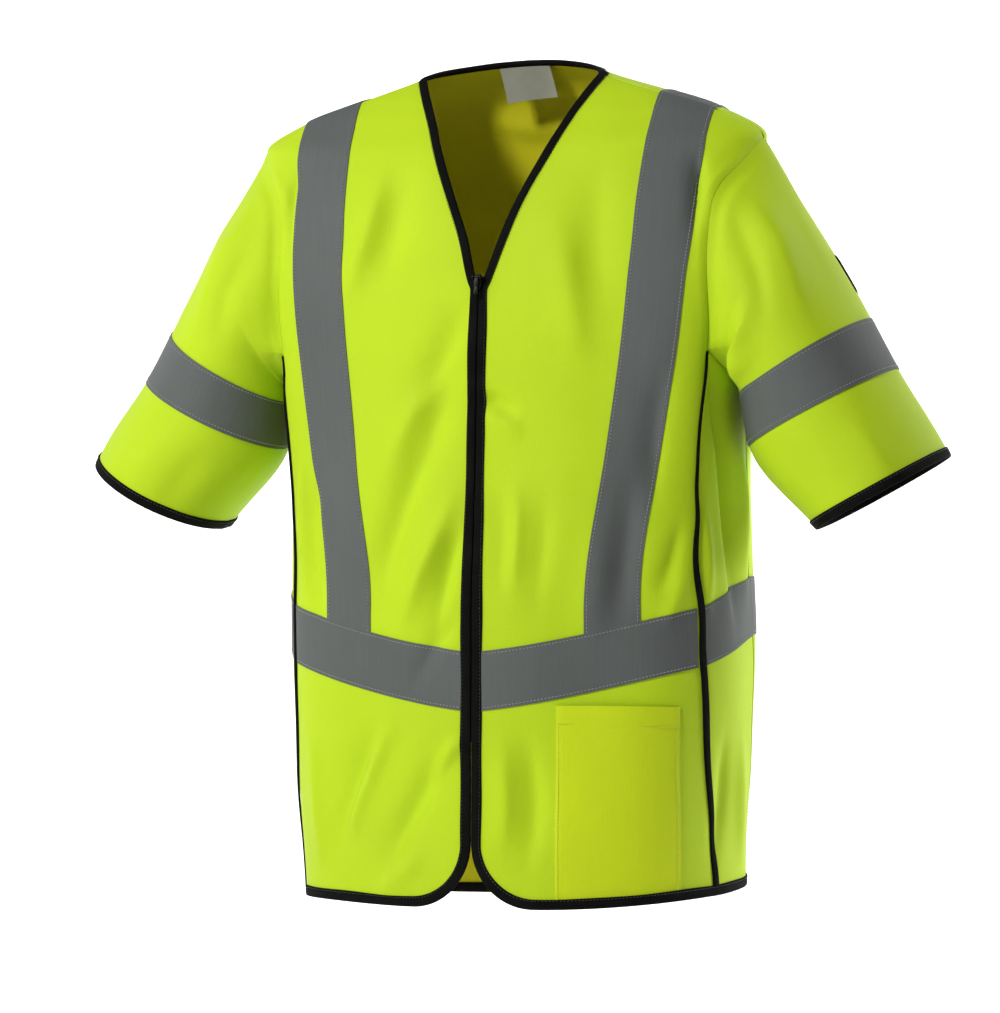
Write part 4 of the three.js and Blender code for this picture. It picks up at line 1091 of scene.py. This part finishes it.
def make_slider():
    circle = rounded(1.2, 1.2, 0.6, -0.6, 0.6)
    lug = rounded(4.9, 4.9, 2.0, -2.0, 1.1) + (-0.1, 0)
    parts = [plate(rounded(7.6, 6.2, 2.6, -9.4, 1.5), -3.3, -2.0, 0.4),
             plate(rounded(5.6, 3.6, 2.0, -8.2, 1.2), -2.1, -1.72, 0.2),
             plate(rounded(7.6, 6.2, 2.6, -9.4, 1.5), -8.4, -7.1, 0.4),
             plate(rounded(1.1, 1.1, 2.2, -9.0, 0.4), -7.3, -3.1, 0.1),
             plate(lug, 2.8, 3.8, 0.25, sideways=True), plate(lug, -3.8, -2.8, 0.25, sideways=True),
             plate(circle, -3.3, 3.3, 0.1, sideways=True)]
    return assembled("slider_body", parts)


def make_pull():
    parts = [eye(0.95, 1.7, 1.9),
             plate(rounded(3.2, 2.6, -1.1, -9.0, 0.4), 0.65, 1.6, 0.2),
             plate(rounded(3.0, 3.8, -8.2, -15.0, 1.4), 0.6, 1.7, 0.3),
             plate(rounded(1.7, 2.2, -9.4, -13.8, 0.7), 1.5, 1.85, 0.12)]
    return assembled("pull_body", parts)


# ---- Materials ----
class Shader:
    """A material's nodes, with short calls for the ones used here."""

    def __init__(self, name, colour, roughness, specular=0.3, sheen=0.0, metallic=0.0):
        self.material = bpy.data.materials.new(name)
        self.material.use_nodes = True
        self.material.diffuse_color = (*colour, 1)
        self.tree = self.material.node_tree
        self.surface = self.tree.nodes["Principled BSDF"]
        self.set(**{"Base Color": (*colour, 1), "Roughness": roughness, "Specular IOR Level": specular,
                    "Sheen Weight": sheen, "Sheen Roughness": 0.5, "Metallic": metallic})
        self.uv = self.node("ShaderNodeUVMap", uv_map="weave").outputs["UV"]
        self.place = self.node("ShaderNodeTexCoord").outputs["Object"]

    def set(self, **values):
        for name, value in values.items():
            self.surface.inputs[name].default_value = value

    def node(self, kind, inputs=(), **settings):
        made = self.tree.nodes.new(kind)
        for name, value in settings.items():
            setattr(made, name, value)
        for name, value in dict(inputs).items():
            if isinstance(value, bpy.types.NodeSocket):
                self.tree.links.new(value, made.inputs[name])
            else:
                made.inputs[name].default_value = value
        return made

    def link(self, output, name):
        self.tree.links.new(output, self.surface.inputs[name])

    def math(self, operation, first, second=0.0):
        return self.node("ShaderNodeMath", {0: first, 1: second}, operation=operation).outputs[0]

    def noise(self, scale, detail=2.0, vector=None):
        inputs = {"Vector": vector or self.place, "Scale": scale, "Detail": detail}
        return self.node("ShaderNodeTexNoise", inputs).outputs["Fac"]

    def stretched(self, wide, high, vector=None):
        inputs = {0: vector or self.uv, 1: (wide, high, 1)}
        return self.node("ShaderNodeVectorMath", inputs, operation="MULTIPLY").outputs[0]

    def waves(self, pitch, axis, vector=None, distortion=0.0):
        """Bands across u (axis X) or v (axis Y), one every pitch metres, from 0 to 1."""
        made = self.node("ShaderNodeTexWave", {"Vector": vector or self.uv, "Scale": math.pi / 10 / pitch,
                                               "Distortion": distortion, "Detail": 0.0},
                         wave_type="BANDS", bands_direction=axis)
        return made.outputs["Fac"]

    def ramp(self, factor, stops):
        made = self.node("ShaderNodeValToRGB", {"Fac": factor})
        ramp = made.color_ramp
        while len(ramp.elements) < len(stops):
            ramp.elements.new(0.5)
        for element, (position, colour) in zip(ramp.elements, stops):
            element.position = position
            element.color = (*colour, 1)
        return made.outputs["Color"]

    def mix(self, factor, first, second, blend="MIX"):
        made = self.node("ShaderNodeMix", data_type="RGBA", blend_type=blend)
        for socket, value in zip([made.inputs[0], made.inputs[6], made.inputs[7]], [factor, first, second]):
            if isinstance(value, bpy.types.NodeSocket):
                self.tree.links.new(value, socket)
            else:
                socket.default_value = value
        return made.outputs[2]

    def bump(self, height, depth, strength=1.0):
        made = self.node("ShaderNodeBump", {"Height": height, "Distance": depth, "Strength": strength})
        self.link(made.outputs["Normal"], "Normal")


def shade(colour, factor):
    return tuple(min(part * factor, 1.0) for part in colour)


def knit_height(shader, pitch=0.0011):
    """The small loops of a warp knit: wales along v, courses along u, slightly uneven."""
    wale = shader.waves(pitch, "X", distortion=0.4)
    course = shader.waves(pitch * 0.8, "Y", distortion=0.6)
    return shader.math("MULTIPLY", shader.math("POWER", wale, 0.7), course)


def cloth_material(name, colour, depth=1.0):
    shader = Shader(name, colour, 0.72, specular=0.3, sheen=0.03)
    knit = knit_height(shader)
    cloudy = shader.noise(7.0, 3.0)
    base = shader.ramp(cloudy, [(0.3, shade(colour, 0.955)), (0.7, shade(colour, 1.03))])
    # Painted shade between the knit's loops: the low places of the knit are darkened a little and warmed.
    loops = shader.ramp(knit, [(0.0, (0.93, 0.93, 0.88)), (0.65, (1, 1, 1))])
    base = shader.mix(1.0, base, loops, "MULTIPLY")
    fibre = shader.noise(900.0, 2.0)
    fuzz = shader.ramp(fibre, [(0.35, (0.97, 0.97, 0.97)), (0.65, (1, 1, 1))])
    shader.link(shader.mix(1.0, base, fuzz, "MULTIPLY"), "Base Color")
    rough = shader.node("ShaderNodeMapRange", {"Value": cloudy, "To Min": 0.66, "To Max": 0.78}).outputs[0]
    shader.link(rough, "Roughness")
    soft = shader.math("MULTIPLY", shader.noise(55.0, 4.0), 3.0)
    shader.bump(shader.math("ADD", knit, soft), 0.00009 * depth)
    return shader.material


def tape_material():
    colour = (0.112, 0.122, 0.116)
    shader = Shader("reflective_tape", colour, 0.62, specular=0.18, metallic=0.0)
    voronoi = shader.node("ShaderNodeTexVoronoi", {"Vector": shader.stretched(1, 1), "Scale": 2600.0})
    beads = voronoi.outputs["Distance"]
    cloudy = shader.noise(9.0, 4.0)
    streak = shader.noise(1.0, 3.0, shader.stretched(420, 16))
    base = shader.ramp(cloudy, [(0.25, shade(colour, 0.93)), (0.75, shade(colour, 1.06))])
    # Painted glint on the tape's glass beads: each bead is lightened in its middle and darkened at its rim.
    bead_glint = shader.ramp(beads, [(0.0, (1.06, 1.06, 1.06)), (0.8, (0.88, 0.88, 0.88))])
    base = shader.mix(1.0, base, bead_glint, "MULTIPLY")
    lines = shader.ramp(streak, [(0.35, (0.965, 0.965, 0.965)), (0.65, (1.02, 1.02, 1.02))])
    shader.link(shader.mix(1.0, base, lines, "MULTIPLY"), "Base Color")
    rough = shader.node("ShaderNodeMapRange", {"Value": cloudy, "To Min": 0.58, "To Max": 0.7}).outputs[0]
    shader.link(rough, "Roughness")
    shader.bump(shader.math("ADD", beads, shader.math("MULTIPLY", shader.noise(120.0, 3.0), 1.6)), 0.00005)
    return shader.material


def binding_material(name="black_binding", rib=0.0009, colour=(0.0045, 0.0047, 0.0042)):
    shader = Shader(name, colour, 0.85, specular=0.07)
    ribs = shader.waves(rib, "X", distortion=0.5)
    yarn = shader.waves(0.0005, "Y", distortion=0.8)
    cloudy = shader.noise(40.0, 3.0)
    base = shader.ramp(cloudy, [(0.3, shade(colour, 0.8)), (0.7, shade(colour, 1.6))])
    # Painted light on the ribs: their tops are lightened as a painted highlight and the hollows between them
    # darkened as painted shade.
    rib_highlight_shade = shader.ramp(ribs, [(0.2, (0.55, 0.55, 0.55)), (0.9, (1.25, 1.25, 1.25))])
    shader.link(shader.mix(1.0, base, rib_highlight_shade, "MULTIPLY"), "Base Color")
    shader.bump(shader.math("ADD", ribs, shader.math("MULTIPLY", yarn, 0.5)), 0.00016)
    return shader.material


def thread_material(name, colour):
    shader = Shader(name, colour, 0.6, specular=0.3, sheen=0.2)
    twist = shader.noise(1400.0, 2.0)
    shader.link(shader.ramp(twist, [(0.3, shade(colour, 0.75)), (0.7, shade(colour, 1.12))]), "Base Color")
    shader.bump(twist, 0.00006)
    return shader.material


def metal_material(name, colour, roughness):
    shader = Shader(name, colour, roughness, specular=0.5, metallic=0.85)
    wear = shader.noise(420.0, 4.0)
    shader.link(shader.ramp(wear, [(0.35, shade(colour, 0.8)), (0.75, shade(colour, 1.7))]), "Base Color")
    rough = shader.node("ShaderNodeMapRange", {"Value": wear, "To Min": roughness * 0.8,
                                               "To Max": roughness * 1.4}).outputs[0]
    shader.link(rough, "Roughness")
    shader.bump(wear, 0.00002)
    return shader.material


def plastic_material(name, colour):
    shader = Shader(name, colour, 0.42, specular=0.45)
    mottle = shader.noise(600.0, 3.0)
    shader.link(shader.ramp(mottle, [(0.3, shade(colour, 0.7)), (0.7, shade(colour, 1.5))]), "Base Color")
    shader.bump(mottle, 0.00002)
    return shader.material


def label_material():
    # The label's colour is painted shade: an off-white label, darkened to the dim grey it shows where it
    # hangs in the shade inside the back neck.
    colour = (0.29, 0.29, 0.235)
    shader = Shader("label_cloth", colour, 0.5, specular=0.35, sheen=0.15)
    weft = shader.waves(0.0004, "Y", distortion=0.3)
    cloudy = shader.noise(60.0, 3.0)
    base = shader.ramp(cloudy, [(0.3, shade(colour, 0.93)), (0.7, shade(colour, 1.04))])
    # Painted shade between the weft threads: the low places of the weave are darkened a little.
    threads = shader.ramp(weft, [(0.0, (0.93, 0.93, 0.93)), (0.8, (1, 1, 1))])
    shader.link(shader.mix(1.0, base, threads, "MULTIPLY"), "Base Color")
    shader.bump(shader.math("ADD", weft, cloudy), 0.00005)
    return shader.material


YELLOW = (0.50, 0.70, 0.006)
GOLDEN = (0.60, 0.755, 0.004)
# The inner face's colour is painted shade: the same yellow cloth, made browner and duller to stand for the
# shade and warm bounce light inside the vest.
INSIDE_SHADE = (0.63, 0.60, 0.004)


def make_materials():
    return {
        "hi_vis_cloth": cloth_material("hi_vis_cloth", YELLOW),
        "hi_vis_inside_shade": cloth_material("hi_vis_inside_shade", INSIDE_SHADE),
        "pocket_cloth": cloth_material("pocket_cloth", GOLDEN, 1.2),
        "reflective_tape": tape_material(),
        "black_binding": binding_material(),
        "black_piping": binding_material("black_piping", 0.0012),
        "black_patch": binding_material("black_patch", 0.0007, (0.014, 0.0145, 0.013)),
        "zip_tape": binding_material("zip_tape", 0.0006, (0.009, 0.009, 0.0085)),
        "zip_teeth": plastic_material("zip_teeth", (0.012, 0.012, 0.011)),
        "zip_metal": metal_material("zip_metal", (0.012, 0.012, 0.0118), 0.42),
        "label_cloth": label_material(),
        "yellow_thread": thread_material("yellow_thread", (0.60, 0.74, 0.05)),
        "grey_thread": thread_material("grey_thread", (0.40, 0.42, 0.38)),
        "black_thread": thread_material("black_thread", (0.016, 0.016, 0.015)),
        "gold_thread": thread_material("gold_thread", (0.62, 0.52, 0.03)),
    }


# ---- Stitching ----
def stitch_line(points, normals, pitch=3.1, length=2.3, width=0.55, height=0.5):
    """Vertices and faces of a row of stitches, each a short thread lying on the cloth."""
    steps = np.linalg.norm(np.diff(points, axis=0), axis=1)
    along = np.concatenate([[0], np.cumsum(steps)])
    middle = np.arange(pitch / 2, along[-1], pitch)
    centre = np.stack([np.interp(middle, along, points[:, k]) for k in range(3)], -1)
    ahead = np.stack([np.interp(middle + 0.5, along, points[:, k]) for k in range(3)], -1)
    behind = np.stack([np.interp(middle - 0.5, along, points[:, k]) for k in range(3)], -1)
    normal = np.stack([np.interp(middle, along, normals[:, k]) for k in range(3)], -1)
    way = ahead - behind
    way /= np.linalg.norm(way, axis=1, keepdims=True) + 1e-9
    side = cross_normal(way, normal)
    shape = [(-0.5, 0, -0.2), (0.5, 0, -0.2)]
    for reach in (-0.28, 0.28):
        shape += [(reach, 0.5, 0.1), (reach, 0, 1), (reach, -0.5, 0.1), (reach, 0, -0.5)]
    shape = np.array(shape)
    blocks = (centre[:, None] + way[:, None] * (shape[:, 0] * length)[:, None]
              + side[:, None] * (shape[:, 1] * width)[:, None]
              + normal[:, None] * (shape[:, 2] * height)[:, None])
    base = [(0, 2 + (k + 1) % 4, 2 + k) for k in range(4)]
    base += [(1, 6 + k, 6 + (k + 1) % 4) for k in range(4)]
    base += [(2 + k, 2 + (k + 1) % 4, 6 + (k + 1) % 4, 6 + k) for k in range(4)]
    return blocks.reshape(-1, 3), base, len(middle)


def stitches(name, lines):
    vertices, faces, total = [], [], 0
    for points, normals in lines:
        block, base, count = stitch_line(points, normals)
        faces += [tuple(v + total + 10 * t for v in face) for t in range(count) for face in base]
        total += len(block)
        vertices.append(block)
    return make_mesh(name, np.concatenate(vertices), faces, None, 80)


def seam_on(angle, level, out, distance=0.0):
    """A line for stitches at a distance to the left of a path and a height over the cloth."""
    angle, level = even(np.asarray(angle), np.asarray(level), 5.0)
    points, normals = ribbon(angle, level, [distance])
    return points[0] + normals[0] * out, normals[0]


# ---- The whole garment ----
def finish(piece, material, nodes=(), body="garment"):
    piece.data.materials.clear()
    piece.data.materials.append(material)
    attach(piece, body)
    if nodes:
        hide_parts(*nodes)


def paint_inside_shade(piece, material):
    """The cloth's inner face is the second half of its grid faces, and gets a browner, duller colour: painted
    shade for the dim, warm light inside the vest.
    """
    piece.data.materials.append(material)
    mesh = piece.data
    first = np.empty(len(mesh.polygons), dtype=np.int32)
    mesh.polygons.foreach_get("loop_start", first)
    corner = np.empty(len(mesh.loops), dtype=np.int32)
    mesh.loops.foreach_get("vertex_index", corner)
    corners = corner[first[:, None] + np.arange(4)]
    inside = (corners >= len(mesh.vertices) // 2).all(1)
    mesh.polygons.foreach_set("material_index", inside.astype(np.int32))


SLOT_OF = [("binding", "black_binding"), ("piping", "black_piping"), ("brace", "reflective_tape"),
           ("waist", "reflective_tape"), ("sleeve_tape", "reflective_tape"), ("sleeve_patch", "black_patch"),
           ("neck_label", "label_cloth"), ("pocket", "pocket_cloth"), ("zip", "zip_tape"),
           ("", "hi_vis_cloth")]


def slot_of(node):
    return next(slot for start, slot in SLOT_OF if node.startswith(start))


def tape_lines():
    """The two rows of stitches along every tape."""
    out = LAYER_GAP + TAPE_WALL
    lines = []
    for hand in HANDS.values():
        for share in (0.05, 0.95):
            shares = np.array([share])
            front = front_strip(brace_inner, brace_outer, (135, 184), shares, WAIST_TOP, 60, 40, hand)
            lines.append(seam_on(front[0][:, 0], front[1][:, 0], out))
            angle, level = back_half(back_levels(WAIST_TOP, 60, 40), [4 - 2 * share])
            angle = angle if hand > 0 else 2 * math.pi - angle
            lines.append(seam_on(angle[:, 0], level[:, 0], out))
        for nominal in (WAIST_BOTTOM + 2.5, WAIST_TOP - 2.5):
            x = np.linspace(FRONT_EDGE + BINDING_WIDTH + 1, front_seam(-520) - PIPING_HALF - 1, 60)
            angle, level = front_place(x, nominal + 0 * x)
            lines.append(seam_on(angle * hand, level, out))
            share = np.linspace(0.06, 0.98, 30)
            angle, level = side_place(share, nominal + 0 * share)
            lines.append(seam_on(angle * hand, level, out))
        points, normals = sleeve_grid(hand, np.array([TAPE_TOP + 0.009, TAPE_BOTTOM - 0.009]))
        for row in range(2):
            lines.append((points[row] + normals[row] * out, normals[row]))
    for nominal in (WAIST_BOTTOM + 2.5, WAIST_TOP - 2.5):
        angle, level = full_back(level_span(nominal, nominal, 1))
        lines.append(seam_on(angle[0], level[0], out))
    return lines


def binding_lines(paths):
    out = BINDING_GAP + BINDING_WALL + 0.05
    lines = []
    for node, path in paths.items():
        hand = -1 if node.endswith("right") else 1
        lines.append(seam_on(*turned(path, hand), out, BINDING_WIDTH - 1.4))
    for hand in HANDS.values():
        points, normals = sleeve_grid(hand, np.array([1 - (CUFF_BINDING - 1.4) / SLEEVE_LENGTH]))
        lines.append((points[0] + normals[0] * out, normals[0]))
    return lines


def cloth_lines():
    """Top-stitching beside the seams of the yellow cloth."""
    lines = []
    for hand in HANDS.values():
        nominal = np.linspace(CHEST - 16, HEM + BINDING_WIDTH, 120)
        angle, level = side_place(1 + 0 * nominal, nominal)
        lines.append(seam_on(angle * hand, level, 0.1, -2.6 * hand))
    return lines


def pocket_lines():
    out = BINDING_GAP + 1.05
    lines = []
    for x in (POCKET["left"] + 2.2, POCKET["right"] - 2.2):
        top = POCKET["top"] - front_rise(x) * 0.97
        nominal = np.linspace(HEM + BINDING_WIDTH, top, 60)
        lines.append(seam_on(*front_place(x + 0 * nominal, nominal), out))
    x = np.linspace(POCKET["left"] + 2, POCKET["right"] - 2, 50)
    nominal = POCKET["top"] - POCKET["hem"] - front_rise(x) * 0.97
    lines.append(seam_on(*front_place(x, nominal), out + 0.9))
    return lines


# How each cloth piece was cut, in metres: width, length, the area where that isn't a rectangle, how it
# is held, what it lies on or hangs from, and the bindings and piping sewn along it.
CUTS = {
    "back": (0.55, 0.80, 0.369, "hung", [], ["binding_back", "binding_neck"]),
    "front": (0.26, 0.75, 0.138, "hung", ["back"], ["binding_front", "piping"]),
    "side": (0.105, 0.475, 0.044, "hung", ["back"], ["binding_side"]),
    "sleeve": (0.56, 0.315, 0.106, "hung", ["back"], ["binding_cuff"]),
    "brace_front": (0.05, 0.475, None, "laid", ["front"], []),
    "brace_back": (0.05, 0.49, None, "laid", ["back"], []),
    "waist_front": (0.05, 0.19, None, "laid", ["front"], []),
    "waist_side": (0.05, 0.10, None, "laid", ["side"], []),
    "waist_back": (0.05, 0.51, None, "laid", ["back"], []),
    "sleeve_tape": (0.05, 0.45, None, "laid", ["sleeve"], []),
    "pocket": (0.108, 0.175, None, "laid", ["front_left"], []),
    "neck_label": (0.046, 0.033, None, "hung", ["back"], []),
    "sleeve_patch": (0.063, 0.034, None, "laid", ["sleeve_left"], []),
}


def declare_cuts(pieces):
    for kind, (width, length, area, held, below, sewn) in CUTS.items():
        for side in ("", "_left", "_right"):
            if kind + side not in pieces:
                continue


def build():
    materials = make_materials()
    paths = hem_paths()
    pieces = {**make_panels(), **make_tapes(), **make_sleeves(), **make_bindings(paths), **make_piping(),
              **make_pocket(), **make_label(), **make_patch()}
    for node, piece in pieces.items():
        slot = slot_of(node)
        finish(piece, materials[slot], [node])
        if slot == "hi_vis_cloth":
            paint_inside_shade(piece, materials["hi_vis_inside_shade"])
    declare_cuts(pieces)
    for node, (tape, teeth) in make_zip().items():
        finish(tape, materials["zip_tape"], [node])
        finish(teeth, materials["zip_teeth"])
    for name, lines, thread, slot in [
            ("stitches_tape", tape_lines(), "grey_thread", "reflective_tape"),
            ("stitches_binding", binding_lines(paths), "black_thread", "black_binding"),
            ("stitches_cloth", cloth_lines(), "yellow_thread", "hi_vis_cloth"),
            ("stitches_pocket", pocket_lines(), "gold_thread", "pocket_cloth")]:
        finish(stitches(name, lines), materials[thread])
    finish(make_slider(), materials["zip_metal"], ["zip_slider"])
    finish(make_pull(), materials["zip_metal"], ["zip_pull"], "pull_tab")
    return pieces


# ---- Camera, light and floor ----
CAMERA = {"yaw": 17.5, "distance": 3.6, "aside": -0.01392, "height": -0.3728, "lens": 148.97}


def make_camera():
    yaw = math.radians(CAMERA["yaw"])
    data = bpy.data.cameras.new("camera")
    data.sensor_fit = "HORIZONTAL"
    data.sensor_width = 36
    data.lens = CAMERA["lens"]
    camera = bpy.data.objects.new("camera", data)
    aside = CAMERA["aside"]
    camera.location = (aside * math.cos(yaw) + CAMERA["distance"] * math.sin(yaw),
                       aside * math.sin(yaw) - CAMERA["distance"] * math.cos(yaw), CAMERA["height"])
    camera.rotation_euler = (QUARTER, 0, yaw)
    bpy.context.scene.collection.objects.link(camera)
    bpy.context.scene.camera = camera


def area_light(name, place, aim, size, power, colour=(1, 1, 1)):
    from mathutils import Vector
    data = bpy.data.lights.new(name, "AREA")
    data.shape = "RECTANGLE"
    data.size, data.size_y = size
    data.energy = power
    data.color = colour
    light = bpy.data.objects.new(name, data)
    light.location = place
    way = Vector(aim) - Vector(place)
    light.rotation_euler = way.to_track_quat("-Z", "Y").to_euler()
    bpy.context.scene.collection.objects.link(light)


FLOOR_LEVEL = -0.92
FLOOR_FRONT, FLOOR_BACK = -6.0, 4.5
FLOOR_HALF = 7.0
BACKDROP_RADIUS, BACKDROP_TOP = 0.9, 3.2


def make_stage():
    """A pale floor that curves up into a backdrop, a key and a fill light, and two lights on the backdrop."""
    world = bpy.data.worlds.new("studio")
    bpy.context.scene.world = world
    world.use_nodes = True
    background = world.node_tree.nodes["Background"]
    background.inputs["Color"].default_value = (1, 1, 1, 1)
    background.inputs["Strength"].default_value = 0.11
    profile = [(FLOOR_FRONT, FLOOR_LEVEL)]
    for turn in np.linspace(0, QUARTER, 14):
        profile.append((FLOOR_BACK + BACKDROP_RADIUS * math.sin(turn),
                        FLOOR_LEVEL + BACKDROP_RADIUS * (1 - math.cos(turn))))
    profile.append((FLOOR_BACK + BACKDROP_RADIUS, BACKDROP_TOP))
    vertices = [(x, y, z) for y, z in profile for x in (-FLOOR_HALF, FLOOR_HALF)]
    faces = [(2 * k, 2 * k + 1, 2 * k + 3, 2 * k + 2) for k in range(len(profile) - 1)]
    mesh = bpy.data.meshes.new("floor")
    mesh.from_pydata(vertices, [], faces)
    mesh.polygons.foreach_set("use_smooth", np.ones(len(faces), dtype=bool))
    floor = bpy.data.objects.new("floor", mesh)
    bpy.context.scene.collection.objects.link(floor)
    pale = bpy.data.materials.new("pale_floor")
    pale.use_nodes = True
    pale.node_tree.nodes["Principled BSDF"].inputs["Base Color"].default_value = (0.93, 0.93, 0.93, 1)
    pale.node_tree.nodes["Principled BSDF"].inputs["Roughness"].default_value = 0.9
    mesh.materials.append(pale)
    area_light("key", (-1.05, -2.5, 1.3), (0, 0, -0.2), (0.55, 0.55), 76)
    area_light("fill", (-1.9, -1.4, 0.5), (0, 0, -0.3), (1.0, 1.0), 11)
    area_light("backdrop_left", (-3.4, 1.4, 0.9), (-1.7, 4.9, -0.5), (1.4, 1.8), 210)
    area_light("backdrop_right", (1.9, 1.4, 0.9), (-0.9, 4.4, -0.6), (1.4, 1.8), 210)
    bpy.context.scene.view_settings.view_transform = "Standard"


make_camera()
make_stage()
build()
